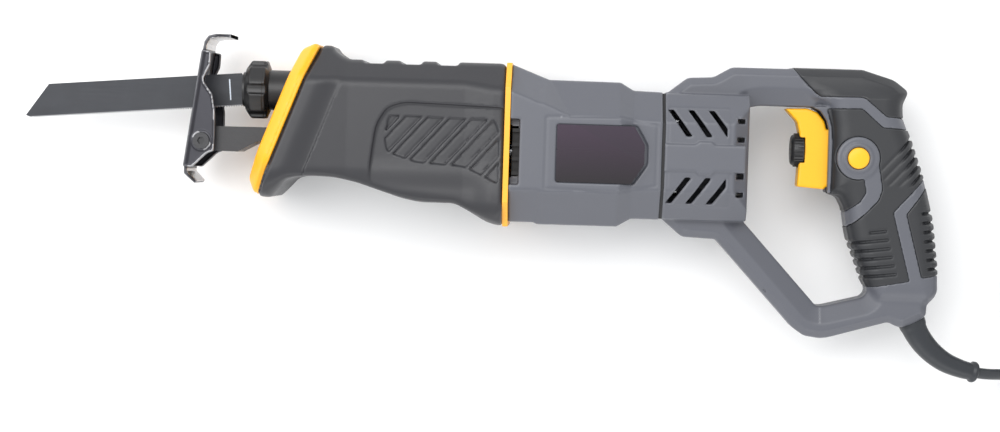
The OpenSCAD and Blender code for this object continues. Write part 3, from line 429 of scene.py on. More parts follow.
def worked_metal(name, colour, roughness, worn=(0.8, 0.8, 0.8), wear=0.4, stain=0.25,
                 metallic=1.0, depth=0.00002):
    """A machined, drawn, cast or coated metal of the saw."""
    material, tree, shader = principled(name)
    skin = node_of(tree, "Group")
    skin.node_tree = metal_group
    skin.inputs["Color"].default_value = (*colour, 1)
    skin.inputs["Worn Color"].default_value = (*worn, 1)
    skin.inputs["Roughness"].default_value = roughness
    skin.inputs["Wear"].default_value = wear
    skin.inputs["Stain"].default_value = stain
    tree.links.new(skin.outputs["Color"], shader.inputs["Base Color"])
    tree.links.new(skin.outputs["Roughness"], shader.inputs["Roughness"])
    bump = node_of(tree, "Bump")
    bump.inputs["Strength"].default_value = 0.5
    bump.inputs["Distance"].default_value = depth
    tree.links.new(skin.outputs["Height"], bump.inputs["Height"])
    tree.links.new(bump.outputs["Normal"], shader.inputs["Normal"])
    shader.inputs["Metallic"].default_value = metallic
    return material


pin_nickel = worked_metal("pin_nickel", (0.72, 0.71, 0.69), 0.2)
show_cad(pin_nickel, "plug_pins")

# ---- Nose ring -------------------------------------------------------------------------
# A bright moulded ring clamps the boot's front lip. Its front edge is bevelled all round,
# and the collar and the shoe's bracket come out through it.
NOSE = (-124.0, 14.0)
SLANT = math.radians(21)
PLUNGER_Y = 31.0


def outline(x, y, points):
    """Signed distance in the XY plane to a closed outline, negative inside it."""
    x, y = np.broadcast_arrays(x, y)
    nearest = np.full(x.shape, 1e9)
    sign = np.ones(x.shape)
    for (ax, ay), (bx, by) in zip(points, points[1:] + points[:1]):
        ex, ey, wx, wy = bx - ax, by - ay, x - ax, y - ay
        t = np.clip((wx * ex + wy * ey) / (ex * ex + ey * ey), 0, 1)
        nearest = np.minimum(nearest, (wx - ex * t) ** 2 + (wy - ey * t) ** 2)
        above, under, left = y >= ay, y < by, ex * wy > ey * wx
        sign = np.where((above & under & left) | ~(above | under | left), -sign, sign)
    return sign * np.sqrt(nearest)


def soften(points, radius):
    """The outline with each corner cut back and rounded."""
    p = np.array(points, float)
    out = []
    for before, corner, after in zip(np.roll(p, 1, 0), p, np.roll(p, -1, 0)):
        a, b = before - corner, after - corner
        cut = min(radius, 0.42 * np.linalg.norm(a), 0.42 * np.linalg.norm(b))
        a, b = corner + a / np.linalg.norm(a) * cut, corner + b / np.linalg.norm(b) * cut
        for t in (0, 0.25, 0.5, 0.75, 1):
            out.append(tuple((1 - t) ** 2 * a + 2 * t * (1 - t) * corner + t * t * b))
    return out


def both(a, b, k=0.0):
    """What two shapes share, with the edge between them rounded over about k."""
    if k <= 0:
        return np.maximum(a, b)
    return np.maximum(a, b) + np.maximum(k - np.abs(a - b), 0) ** 2 / (4 * k)


def either(a, b, k=0.0):
    """Two shapes joined, with a fillet of about k between them."""
    return -both(-a, -b, k)


def cell_skin(field, low, high, step):
    """A closed mesh of the surface where field is zero: one point in each grid cell that it
    passes through, then pulled onto the surface itself."""
    axes = [np.arange(a, b + step, step) for a, b in zip(low, high)]
    grid = np.broadcast_to(field(axes[0][:, None, None], axes[1][None, :, None], axes[2][None, None, :]),
                           [len(a) for a in axes]).astype(np.float32)
    inside = grid < 0
    corners = [(i, j, k) for i in (0, 1) for j in (0, 1) for k in (0, 1)]
    part = {c: inside[tuple(slice(o, n - 1 + o) for o, n in zip(c, inside.shape))] for c in corners}
    count = sum(p.astype(np.int8) for p in part.values())
    cells = np.argwhere((count > 0) & (count < 8))
    number = np.full(count.shape, -1, np.int64)
    number[tuple(cells.T)] = np.arange(len(cells))
    total, hits = np.zeros((len(cells), 3)), np.zeros(len(cells))
    value = {c: grid[tuple((cells + c).T)] for c in corners}
    for a in corners:
        for axis in range(3):
            if a[axis]:
                continue
            b = tuple(1 if i == axis else a[i] for i in range(3))
            crosses = (value[a] < 0) != (value[b] < 0)
            t = value[a][crosses] / (value[a][crosses] - value[b][crosses])
            total[crosses] += np.array(a) + t[:, None] * (np.array(b) - np.array(a))
            hits[crosses] += 1
    points = (cells + total / hits[:, None]) * step + [a[0] for a in axes]
    faces = []
    for axis in range(3):
        u, v = (axis + 1) % 3, (axis + 2) % 3
        near = [slice(1, -1)] * 3
        near[axis] = slice(0, -1)
        far = list(near)
        far[axis] = slice(1, None)
        turned = inside[tuple(near)] != inside[tuple(far)]
        start = np.argwhere(turned)
        start[:, u] += 1
        start[:, v] += 1
        outward = inside[tuple(start.T)]
        ring = []
        for du, dv in ((-1, -1), (0, -1), (0, 0), (-1, 0)):
            cell = start.copy()
            cell[:, u] += du
            cell[:, v] += dv
            ring.append(number[tuple(cell.T)])
        quads = np.stack(ring, 1)
        quads[~outward] = quads[~outward][:, ::-1]
        faces.append(quads)
    for _ in range(3):
        x, y, z = points.T
        here = field(x, y, z)
        e = 0.2 * step
        beside = (field(x + e, y, z), field(x, y + e, z), field(x, y, z + e))
        slope = np.stack([value - here for value in beside], 1) / e
        pull = (here / np.maximum((slope ** 2).sum(1), 0.05))[:, None] * slope
        points = points - np.clip(pull, -0.5 * step, 0.5 * step)
    return points, np.concatenate(faces)


def moulding(name, field, low, high, step, body, materials, nodes):
    """A piece whose shape is a field over the saw's frame; it stands for its CAD nodes."""
    points, faces = cell_skin(field, low, high, step)
    piece = new_piece(name, points, faces, body, materials)
    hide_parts(*nodes)
    return piece


def nose_axes(x, y):
    """Distance along the ring's own axis, and height along its slope."""
    dx, dy = x - NOSE[0], y - NOSE[1]
    return (math.cos(SLANT) * dx - math.sin(SLANT) * dy, math.sin(SLANT) * dx + math.cos(SLANT) * dy)


def mouth(y, z):
    post = np.hypot(y - PLUNGER_Y, z) - 20.5
    return either(post, both(np.abs(z) - 23, np.abs(y - 10) - 21, 3), 3)


def nose_face(v, z):
    corner = (16 * np.abs(v) + 20 * np.abs(z) - 1216) / 25.6
    return both(both(np.abs(v) - 46, np.abs(z) - HALF_W, 2), corner, 3)


def nose_field(x, y, z):
    u, v = nose_axes(x, y)
    face = nose_face(v, z)
    ring = both(both(face, np.abs(u + 4.5) - 4.5, 1.5), (face - u - 9 + 6) / 1.414, 1.5)
    ring = ring + 0.45 * np.exp(-((u + 1.7) / 0.45) ** 2)
    return both(ring, -mouth(y, z), 1.5)


accent_yellow = moulded("accent_yellow", (0.95, 0.42, 0.004), 0.38, 3000, 0.00002, 0.06, 0.1)
moulding("nose_shell", nose_field, (-155, -33, -42), (-103, 61, 42), 0.8,
                     "body", [accent_yellow], ["nose_ring"])

# ---- Boot ------------------------------------------------------------------------------
# A thick rubber sleeve over the gear case, for the leading hand. It flares to the nose ring,
# has three finger notches along its crest and a sunk panel of slanting bars on each side.
BOOT_SIDE = soften([
    (-1.5, 49.5), (-90, 49.3), (-94, 50.5), (-99, 53.8), (-101, 57), (-107.6, 57), (-140.8, -29.3),
    (-135.9, -30.2), (-133, -30.1), (-128.2, -25), (-124, -19.6), (-118, -18), (-108.5, -17.2),
    (-96.7, -17.5), (-83.7, -20.1), (-72.6, -23.7), (-58.6, -28.2), (-48.6, -30.2), (-28.8, -30.1),
    (-22.7, -33.1), (-10.6, -40.1), (-5.6, -41.6), (-1.5, -42)], 4)
SUNK_AREA = soften([(-77.5, -20), (-76.5, -5), (-74, 13), (-68, 23), (-58, 26.2), (3, 24.4),
                    (3, -50), (-55, -40)], 8)
BAR_PANEL = soften([(-67, 18.5), (-7.2, 17.6), (-4.1, 10), (-4, -19), (-14, -14), (-24, -9.5),
                    (-50.7, -8), (-67.5, -2.7), (-69.2, 6)], 3)
BAR_PITCH = 9.3


def gear_space(x, y, z):
    side = np.abs(z)
    box = both(both(np.abs(y - 16) - 30.4, side - 31.4), (side + y - 68.9) / 1.414)
    box = both(box, -96.4 - x)
    plate = both(both(np.abs(y - 5) - 41.4, side - 33.4), (np.abs(y - 5) + side - 63.8) / 1.414)
    return either(box, both(plate, -14.4 - x))


def boot_field(x, y, z):
    side = np.abs(z)
    body = outline(x, y, BOOT_SIDE)
    width = np.interp(x, [-150, -120, -107, -90, -24, -8, 0], [40, 40, 38.6, 37.2, 37.2, 39.6, 40])
    u, v = nose_axes(x, y)
    width = np.where(u < 20, 37.2 + 2.8 * ease((20 - u) / 14), np.minimum(width, 40))
    width = width - 1.5 * ease((-11 - y) / 12) * ease((x + 120) / 20) * ease((-8 - x) / 12)
    sunk = -outline(x, y, SUNK_AREA)
    fade = ease((y + 26) / 22)
    width = width - 2.1 * ease((sunk + 0.3) / 1.4) * fade
    panel = -outline(x, y, BAR_PANEL)
    slant = (x * 0.745 - y * 0.667) / BAR_PITCH
    from_ridge = np.abs(slant - np.round(slant)) * BAR_PITCH
    bars = ease((from_ridge - 1.0) / 0.35)
    ridge_line = 0.5 * np.exp(-((from_ridge - 1.5) / 0.4) ** 2)
    width = width - ease(panel / 0.6) * (1.1 * bars + ridge_line)
    crest = np.interp(x, [-125, -104, -92, 0], [79, 76.5, 74.2, 74.2])
    low_edge = 37 + 0.5 * np.interp(x, [-140, -118, -96, -60, -28, -6, 0], [50, 40, 42, 54, 62, 76, 78])
    d = both(body, side - width, 3)
    d = both(d, (side + y - crest) / 1.414, 2.5)
    d = both(d, (side - 1.0 * y - low_edge) / 1.414, 5)
    for middle in (-76.5, -55.5, -34.8):
        notch = both(both(np.abs(x - middle) - 5.2 - 0.5 * (y - 47), 46.9 - y, 1.0), side - 27, 3)
        d = both(d, -notch, 1.2)
    lip = np.abs(u - 1.2) - 0.5
    d = d + 0.8 * np.exp(-((u - 1.0) / 0.6) ** 2)
    d = both(d, -gear_space(x, y, z))
    return both(d, -both(mouth(y, z), x + 95))


boot_rubber = moulded("boot_rubber", (0.024, 0.024, 0.028), 0.42, 2600, 0.00005, 0.18, 0.16)
moulding("boot_sleeve", boot_field, (-145, -46, -42), (1, 60, 42), 0.95,
                "body", [boot_rubber], ["front_boot"])

# ---- Accent ring -----------------------------------------------------------------------
# A thin bright ring shows where the boot meets the motor housing.
show_cad(accent_yellow, "accent_ring")

# ---- Motor housing ---------------------------------------------------------------------
# Glass-filled nylon barrel with faceted shoulders, an air slot and a sunk name plate on
# each side, and low pads under it.
HOUSING_SIDE = soften([
    (1.5, 49.3), (22.5, 41.2), (63, 40.9), (70.5, 36.5), (87, 36.1), (87, -36), (71, -36), (63, -40.7),
    (18, -40.8), (15.5, -39.7), (1.5, -39.8)], 0.8)
PLATE = [(28, -16), (71, -16), (78.5, -5), (78.5, 5.5), (72.5, 16), (28, 16)]


def housing_field(x, y, z):
    side = np.abs(z)
    height = np.abs(y)
    width = np.interp(x, [0, 63.2, 70, 90], [HALF_W, HALF_W, 36.4, 36.2])
    facet = np.interp(x + 0.55 * (y - 34), [1.5, 10, 28], [75, 71, 60.8])
    facet = np.where(x > 40, np.interp(x, [62.5, 70.5], [60.8, 55.6]), np.maximum(facet, 60.8))
    facet = np.where(y < 0, np.interp(x, [1.5, 62.5, 70.5], [62.6, 60.8, 55.6]), facet)
    shoulder = np.interp(x, [0, 17, 20.5], [1.2, 1.2, 0])
    d = both(outline(x, y, HOUSING_SIDE), side - width, 1.0)
    d = both(d, (side + height - facet + shoulder) / 1.414, 1.1)
    frame_line = outline(x, y, [(22, -20), (62.5, -21), (84, -17), (84, 17), (62.5, 21), (22, 20)])
    d = either(d, both(both(frame_line, side - width - 0.0, 1.0), 20 - side), 0)
    d = d + 0.4 * np.exp(-(frame_line / 0.5) ** 2) * ease((side - 33) / 2)
    plate = outline(x, y, soften(PLATE, 1.5))
    d = both(d, -both(plate - 0.5, width - 1.1 - side, 0.4))
    slot = both(both(x - 7.2, 0.4 - x), height - 18.4, 1.5)
    d = both(d, -both(slot, 33.2 - side), 0.8)
    for middle in (18.5, 37.5, 56.5):
        d = both(d, -both(both(np.abs(x - middle) - 1.3, y + 40.1), side - 14), 0.6)
    hollow = both(np.hypot(y, z) - 35.6, np.maximum(side - 35.8, height - 37))
    hollow = both(hollow, (side + height - 57) / 1.414)
    rear = np.hypot(y, z) - 33
    hollow = both(np.where(x < 66, hollow, rear), both(x - 83.8, 0.2 - x) - 1.0)
    d = both(d, -hollow)
    d = both(d, -both(np.hypot(y, z) - 13, 80 - x))
    return both(d, np.abs(x - 44.25) - 42.75, 0.5)


housing_plastic = moulded("housing_plastic", (0.098, 0.102, 0.12), 0.42, 2400, 0.00005, 0.07, 0.3)
moulding("motor_barrel", housing_field, (0.5, -43, -42), (88.2, 52, 42), 0.8,
                   "body", [housing_plastic], ["motor_housing"])
slot_black = moulded("slot_black", (0.008, 0.008, 0.009), 0.6, wear=0.0)
show_cad(slot_black, "vent_screen")

# ---- Name plates -----------------------------------------------------------------------
# Printed polyester labels under a clear lacquer, left blank: dark plum with painted light in it. The colour
# runs from near black at the bottom to plum at the top, a painted shade as if lit from above, and a painted
# gloss sheen tints the corner past a slanting line.
plate_print_with_painted_light, tree, shader = principled("plate_print_with_painted_light")
place = node_of(tree, "TexCoord").outputs["Object"]
split = node_of(tree, "SeparateXYZ")
tree.links.new(place, split.inputs[0])
# Painted sheen: a slanting line across the plate; past it the colour is mixed toward a middle plum as a
# painted gloss reflection.
painted_sheen_line = math_node(tree, "MULTIPLY_ADD", split.outputs["X"], 0.55, split.outputs["Y"])
band = node_of(tree, "MapRange")
band.inputs["From Min"].default_value = float(0.55 * saw(64, 0).x + saw(0, 2).y)
band.inputs["From Max"].default_value = band.inputs["From Min"].default_value + 0.0006
tree.links.new(painted_sheen_line, band.inputs["Value"])
# Painted shade: the plum is darker towards the bottom of the plate and lighter towards the top, as if lit
# from above.
fade = node_of(tree, "MapRange")
fade.inputs["From Min"].default_value = float(saw(0, -16).y)
fade.inputs["From Max"].default_value = float(saw(0, 16).y)
tree.links.new(split.outputs["Y"], fade.inputs["Value"])
# The label's plum, with painted shade and a painted gloss sheen laid into it.
plum_with_painted_light = blend_colour(tree, fade.outputs[0], (0.005, 0.002, 0.005, 1), (0.03, 0.014, 0.032, 1))
plum_with_painted_light = blend_colour(tree, math_node(tree, "MULTIPLY", band.outputs[0], 0.35), plum_with_painted_light, (0.018, 0.012, 0.022, 1))
tree.links.new(plum_with_painted_light, shader.inputs["Base Color"])
shader.inputs["Roughness"].default_value = 0.22
shader.inputs["Coat Weight"].default_value = 0.15
shader.inputs["Coat Roughness"].default_value = 0.08
show_cad(plate_print_with_painted_light, "badge_left", "badge_right")

# ---- Blade -----------------------------------------------------------------------------
# Blued bi-metal blade with a fine tooth line ground bright along its lower edge. One pale
# printed line stands near the tang; no other print is shown.
DROOP = math.radians(4.9)
CLAMP_X = -152.0


def blade_axis(tree, along):
    """Millimetres along the blade, or across it, from where it enters the clamp."""
    split = node_of(tree, "SeparateXYZ")
    tree.links.new(node_of(tree, "TexCoord").outputs["Object"], split.inputs[0])
    middle = saw(CLAMP_X, PLUNGER_Y)
    a, b = (math.cos(DROOP), math.sin(DROOP)) if along else (-math.sin(DROOP), math.cos(DROOP))
    part = math_node(tree, "MULTIPLY", math_node(tree, "SUBTRACT", split.outputs["X"], middle.x), a * 1000)
    rise = math_node(tree, "SUBTRACT", split.outputs["Y"], middle.y)
    return math_node(tree, "MULTIPLY_ADD", rise, b * 1000, part)


def band_at(tree, value, middle, half):
    """One where the value lies within half of the middle."""
    away = math_node(tree, "ABSOLUTE", math_node(tree, "SUBTRACT", value, middle))
    return math_node(tree, "LESS_THAN", away, half)


blade_steel = worked_metal("blade_steel", (0.022, 0.024, 0.03), 0.46, (0.4, 0.4, 0.42), 0.0, 0.6, 0.2)
tree = blade_steel.node_tree
shader = tree.nodes["Principled BSDF"]
skin_colour = shader.inputs["Base Color"].links[0].from_socket
across = blade_axis(tree, False)
along = blade_axis(tree, True)
ground = band_at(tree, across, -9.3, 0.75)
line = math_node(tree, "MULTIPLY", band_at(tree, along, -9.6, 0.35), band_at(tree, across, 0.4, 6.0))
toned = blend_colour(tree, math_node(tree, "MULTIPLY", ground, 0.45), skin_colour, (0.42, 0.42, 0.44, 1))
tree.links.new(blend_colour(tree, line, toned, (0.6, 0.66, 0.74, 1)), shader.inputs["Base Color"])
show_cad(blade_steel, "saw_blade")

# ---- Blade clamp -----------------------------------------------------------------------
# The keyless clamp: a steel core on the plunger's end, its pin and return spring, and the
# plastic collar with six grip lobes that is turned by hand to let the blade go.
bright_steel = worked_metal("bright_steel", (0.56, 0.57, 0.58), 0.24)
spring_steel = worked_metal("spring_steel", (0.4, 0.4, 0.41), 0.3)
show_cad(moulded("clamp_black", (0.013, 0.013, 0.014), 0.4, 2200, 0.00003, 0.12, 0.0), "clamp_core")
show_cad(bright_steel, "blade_pin", "plunger_rod")
show_cad(spring_steel, "collar_spring", "trigger_spring", "brush_springs")


def collar_field(x, y, z):
    a = x - CLAMP_X
    r = np.hypot(y - PLUNGER_Y, z)
    turn = np.arctan2(z, y - PLUNGER_Y)
    local = turn - np.round(turn / (math.pi / 3)) * math.pi / 3
    lobe = both(r * np.cos(local) - 16.6, np.abs(r * np.sin(local)) - 5.7, 0.8)
    body = r - 15.1 + 0.25 * np.exp(-((np.abs(local) - 0.5) / 0.05) ** 2)
    d = both(both(either(body, lobe, 0.5), r - 17, 0.4), (r - 12.2 - 1.35 * a) / 1.68, 0.8)
    d = both(d, (r - 17 + 2.4 * (a - 11.9)) / 2.6, 0.6)
    d = d + 0.3 * np.exp(-((a - 11.2) / 0.4) ** 2) * ease((r - 12) / 2)
    d = both(d, np.abs(a - 7) - 7, 0.5)
    return both(d, -either(r - 10.06, both(r - 11.5, np.abs(a - 7) - 4)))


moulding("clamp_ring", collar_field, (-153, 13, -18), (-137, 49, 18), 0.5, "collar", [black_plastic],
         ["clamp_collar"])

# ---- Shoe ------------------------------------------------------------------------------
# Pressed steel shoe with curled lips, zinc plated inside and dark lacquered outside. It
# tilts on a socket-headed pivot in the cast bracket.
PIVOT = (-174.5, 0.7)
LEAN = math.radians(7.8)
SHOE_SIDE = [(-8, -16), (-3, -16), (4.5, -6.5), (8, -4.5), (7, 4.5), (5, 17.5), (2, 27), (-3.5, 32.5),
             (-4.5, 35), (-2, 43), (-2.7, 51), (-8, 51)]
TOP_LIP = [(-8, 50), (-6, 50), (-6, 55), (-4.6, 58), (-1.5, 59.2), (7, 60.6), (7, 62.6), (-2, 61.3),
           (-6, 59.6), (-7.8, 56)]
LOW_LIP = [(-8, -15), (-6, -15), (-5.6, -18.6), (0.7, -23.2), (-0.6, -24.8), (-7.3, -20)]


def shoe_axes(x, y):
    dx, dy = x - PIVOT[0], y - PIVOT[1]
    return (math.cos(LEAN) * dx - math.sin(LEAN) * dy, math.sin(LEAN) * dx + math.cos(LEAN) * dy)


def shoe_field(x, y, z):
    u, v = shoe_axes(x, y)
    side = np.abs(z)
    rim = outline(u, v, soften(SHOE_SIDE, 1.2))
    pivot = np.hypot(u, v)
    sunk = 0.45 * ease((-rim - 0.9) / 0.5) * ease((pivot - 5.6) / 0.5) + 0.5 * ease((4.6 - pivot) / 0.4)
    plate = both(rim, np.abs(side - 18.5) - 1.0 + sunk, 0.3)
    front = both(both(np.abs(u + 7) - 1, np.abs(v - 17.5) - 33.5), side - 19.5, 0.8)
    front = both(front, -both(side - 4, np.abs(v - 26.5) - 20.5, 2), 0.2)
    lips = both(outline(u, v, TOP_LIP), side - 17.2 + 2.2 * ease((u + 3) / 9), 0.5)
    lips = np.minimum(lips, both(outline(u, v, LOW_LIP), side - 17.2 + 2.2 * ease((u + 6) / 6), 0.5))
    body = either(either(plate, front, 0.6), lips, 0.4)
    return both(body, 3.06 - pivot)


shoe_lacquer = worked_metal("shoe_lacquer", (0.03, 0.03, 0.037), 0.34, (0.62, 0.62, 0.64), 0.8, 0.3,
                            0.55, 0.00003)
shoe_zinc = worked_metal("shoe_zinc", (0.66, 0.66, 0.67), 0.3, (0.85, 0.85, 0.86), 0.3, 0.25)
shoe_foot = moulding("foot_plate", shoe_field, (-189, -27, -21), (-160, 66, 21), 0.45,
                     "shoe", [shoe_lacquer, shoe_zinc], ["shoe"])
for face in shoe_foot.data.polygons:
    u, v = shoe_axes((face.center.x - ORIGIN[0]) * 1000, (face.center.y - ORIGIN[1]) * 1000)
    nu = math.cos(LEAN) * face.normal.x - math.sin(LEAN) * face.normal.y
    nv = math.sin(LEAN) * face.normal.x + math.cos(LEAN) * face.normal.y
    if (v > 52 and (nv < -0.3 or nu > 0.6)) or (v < -17 and (nv > 0.3 or nu > 0.8)):
        face.material_index = 1
cast_black = moulded("cast_black", (0.02, 0.02, 0.023), 0.42, 1300, 0.00008, 0.3, 0.0)
show_cad(cast_black, "shoe_bracket", "shoe_pivot")

# ---- Gear case and drive ---------------------------------------------------------------
# Die-cast case with a bearing plate at its back. A bevel crank gear moves a roller in the
# plunger's yoke; bushings and a felt seal guide the rod.
cast_alloy = worked_metal("cast_alloy", (0.5, 0.51, 0.52), 0.5, (0.75, 0.75, 0.76), 0.4, 0.35, 0.8, 0.00008)
gear_steel = worked_metal("gear_steel", (0.3, 0.3, 0.31), 0.28, (0.7, 0.69, 0.66), 0.7, 0.4)
oiled_bronze = worked_metal("oiled_bronze", (0.6, 0.36, 0.15), 0.3)
show_cad(cast_alloy, "gearbox_case", "gearbox_cover", "bearing_plate")
show_cad(gear_steel, "plunger_yoke", "crank_gear", "drive_pinion")
show_cad(oiled_bronze, "front_bushing", "rear_bushing")
show_cad(bright_steel, "crank_bearing", "crank_roller", "front_motor_bearing", "rear_motor_bearing",
         "gearbox_screws", "motor_screws", "handle_screws", "armature_shaft")
show_cad(moulded("felt_grey", (0.2, 0.18, 0.16), 0.9, 4000, 0.0001, 0.4, 0.0), "rod_seal")

# ---- Motor -----------------------------------------------------------------------------
# A brushed universal motor: laminated field with two coils, wound armature, commutator,
# fan, and two brushes in brass holders.
laminated = worked_metal("laminated", (0.24, 0.24, 0.25), 0.45, (0.55, 0.55, 0.55), 0.4, 0.4)
copper_wire = worked_metal("copper_wire", (0.62, 0.25, 0.11), 0.3, (0.85, 0.5, 0.3), 0.4, 0.3)
brass = worked_metal("brass", (0.72, 0.5, 0.2), 0.28)
show_cad(laminated, "field_core", "armature_core")
show_cad(copper_wire, "field_coils", "armature_winding", "commutator")
show_cad(brass, "brush_holders")
show_cad(moulded("carbon", (0.014, 0.014, 0.015), 0.7, 3000, 0.00005, 0.3, 0.0), "carbon_brushes")
show_cad(moulded("fan_nylon", (0.6, 0.6, 0.58), 0.45), "cooling_fan")
show_cad(moulded("suppressor_blue", (0.05, 0.12, 0.3), 0.35), "suppressor")

# ---- Handle shells ---------------------------------------------------------------------
# Two nylon half shells meet on the middle plane. A closed guard runs round the hand, the
# motor's rear end is vented, and the grip is fuller than the guard.
show_cad(slot_black, "handle_seal")
HANDLE_EDGE = soften([
    (88.5, -35.5), (100.6, -45.6), (120, -46.4), (165.5, -95.5), (172, -99.8), (181, -101), (186, -100.3),
    (219.5, -90.5), (223.4, -92.4), (227.3, -93.3), (240.9, -86.5), (241.3, -79), (244.9, -75.2),
    (246.3, -71.7), (245.6, -57.8), (242.3, -32.5), (235.3, -5.6), (228.4, 13.2), (225.8, 18.8),
    (223, 25.5), (222.5, 33.6), (225.6, 40.6), (218, 46.6), (203, 51.1), (200.4, 51.9), (127.5, 51.8),
    (125.4, 51.4), (115.8, 45.8), (101.2, 45.1), (90.6, 36.7), (88.5, 36.3)], 2)
HAND_HOLE = soften([
    (136, 29.2), (143.5, 30.7), (181.5, 30.5), (181.9, 23.3), (183.6, 19.6), (184.1, 11.5), (183.8, -17.5),
    (189.4, -19.3), (192.8, -25.7), (194.4, -35.9), (196.6, -44.8), (200.8, -55), (205, -66.4),
    (207.3, -70.6), (206.7, -74.5), (204.4, -76.9), (182.2, -82.6), (178.4, -82.6), (137, -37.5),
    (132.8, -33.1), (134.3, -31), (135.6, -18.4), (136.5, 9.6)], 2)
GRIP_EDGE = soften([
    (181.5, 30.5), (183.6, 19.6), (184.1, 11.5), (183.8, -17.5), (189.4, -19.3), (192.8, -25.7),
    (194.4, -35.9), (196.6, -44.8), (200.8, -55), (205, -66.4), (207.3, -70.6), (212.5, -79), (241.5, -79),
    (244.9, -75.2), (246.3, -71.7), (245.6, -57.8), (242.3, -32.5), (235.3, -5.6), (228.4, 13.2),
    (225.8, 18.8), (223, 25.5), (222.5, 33.6), (225.6, 40.6), (218, 46.6), (203, 51.1), (200.5, 51.9),
    (158.5, 51.9), (170.5, 36.6)], 2)
PADS = [
    soften([(180.6, 29.8), (200, 30.1), (211.7, 19.9), (227.5, 18.8), (252, 24), (238.5, -6), (219.1, -27.8),
            (229.5, -66.4), (207.3, -70.6), (192.5, -70), (170, -30), (170, -18.8), (184.2, -18.3),
            (184.3, 12), (183.6, 19.6)], 1.2),
    soften([(240, -11), (226.8, -28.7), (236.4, -64.3), (262, -60), (262, -8)], 1.2),
    soften([(158.2, 56), (227, 56), (240, 40.6), (224.5, 25.5), (213.7, 26.2), (202.1, 35.8), (199.6, 36.8),
            (176.2, 36.6), (170.7, 41.4), (164.9, 47.4)], 1.2)]
TRIGGER_LIP = soften([(188, -18.2), (182.2, -18), (182.0, 17.6), (180.6, 23), (176.8, 28.6), (173, 30.2),
                      (176, 31.2), (186, 31.5), (189, 18)], 1)
WRAP_STRIP = soften([(201, -5), (203.5, -16.9), (200.2, -22.4), (186.5, -33), (188.5, -41), (199.3, -33),
                     (204.1, -28.5), (210.8, -21.4), (212.8, -15.1), (210.2, 0)], 1.5)
BUTTON = (198.5, 2.3)
RELIEF_WAY = math.radians(-64)


def pad_area(x, y):
    """Negative where rubber lies: the three areas less the ring and the strip of plastic."""
    main = both(outline(x, y, PADS[0]), 12.3 - np.hypot(x - BUTTON[0], y - BUTTON[1]))
    main = both(main, -outline(x, y, WRAP_STRIP))
    return np.minimum(np.minimum(main, outline(x, y, PADS[1])), outline(x, y, PADS[2]))


def gland_axes(x, y):
    dx, dy = x - EXIT[0], y - EXIT[1]
    return (math.cos(RELIEF_WAY) * dx + math.sin(RELIEF_WAY) * dy,
            -math.sin(RELIEF_WAY) * dx + math.cos(RELIEF_WAY) * dy)


def handle_solid(x, y, side):
    edge = outline(x, y, HANDLE_EDGE)
    hole = outline(x, y, HAND_HOLE)
    guard_z = np.minimum(np.minimum(14, 9.6 - 1.1 * edge), 9.0 + 0.5 * hole)
    guard = both(both(edge, -hole, 0), (side - guard_z) * 0.86, 0.9)
    grip_z = np.interp(y, [-90, -76, 36, 47], [14, 18, 18, 13])
    grip = both(outline(x, y, GRIP_EDGE), (side - grip_z) * 0.97, 11)
    d = either(guard, grip, 2.5)
    height = np.abs(y)
    motor = both(both(height - 35.6, side - 35.6), (side + height - 55.2) / 1.414, 0.9)
    frame_line = both(height - 27.6, np.abs(x - 107.5) - 17.5, 2)
    motor = motor + 0.35 * np.exp(-(frame_line / 0.5) ** 2)
    rear = both(x - 136, (x + 0.9 * (side - 28) - 134) / 1.345, 1.5)
    motor = both(both(motor, 88.5 - x), rear, 0.8)
    swell = 1.8 * ease((x - 105) / 3) * ease((117 - x) / 3)
    band = both(both(np.abs(y + 0.5) - 7.5 - swell, side - 36.4, 0.7),
                both(88.5 - x, x - 133.5, 0.8))
    d = either(either(d, motor, 1.0), band, 0.4)
    along, across = gland_axes(x, y)
    r = np.hypot(across, side)
    gland = both(both(r - 8.6 + 0.9 * ease((along + 9) / 9), along), -15 - along, 1)
    d = either(d, gland, 3)
    lip = both(outline(x, y, TRIGGER_LIP), side - 12.6, 1.2)
    return either(d, lip, 1)


def grip_wear(x, y):
    """Depth of the grooves and notches moulded into the rubber."""
    slope = 0.133 * (x - 218.7)
    k = np.clip(np.round((y - slope + 63) / 5), 0, 5)
    off = y - slope + 63 - 5 * k
    reach = ease((222.8 - 1.28 * k - x) / 1.2) * ease((x - np.where(k > 4.5, 205.5, 150)) / 1.5)
    deep = 1.25 * np.exp(-(off / 0.85) ** 2) * reach
    m = np.clip(np.round((y - 0.1 * (x - 240) + 59.5) / 5.3), 0, 6)
    off = y - 0.1 * (x - 240) + 59.5 - 5.3 * m
    start = 237.6 - 0.75 * m
    deep = deep + 1.5 * np.exp(-(off / 0.9) ** 2) * ease((x - start) / 3.5)
    s = 0.67 * y - 0.74 * x + 177.5
    n = np.clip(np.round(s / 4.5), 0, 4)
    from_rear = x - (229.8 - 0.38 * y)
    fall = 1.2 * ease((from_rear + 9) / 8) + 0.35 * ease((from_rear + 22) / 4)
    fall = fall * ease((y + 14) / 3) * ease((16.5 - y) / 2)
    return deep + np.exp(-((s - 4.5 * n) / 0.8) ** 2) * fall


VENTS = [[(89.7, 26.2), (93, 26.3), (103.7, 11.5), (100.3, 11.4)]]
VENTS += [[(x + s, y) for x, y in VENTS[0]] for s in (11.3, 22.8)]
BOSSES = [(108.5, 41), (168.5, 44), (214.5, 41), (200.5, -87), (150.5, -73), (116.5, -41)]


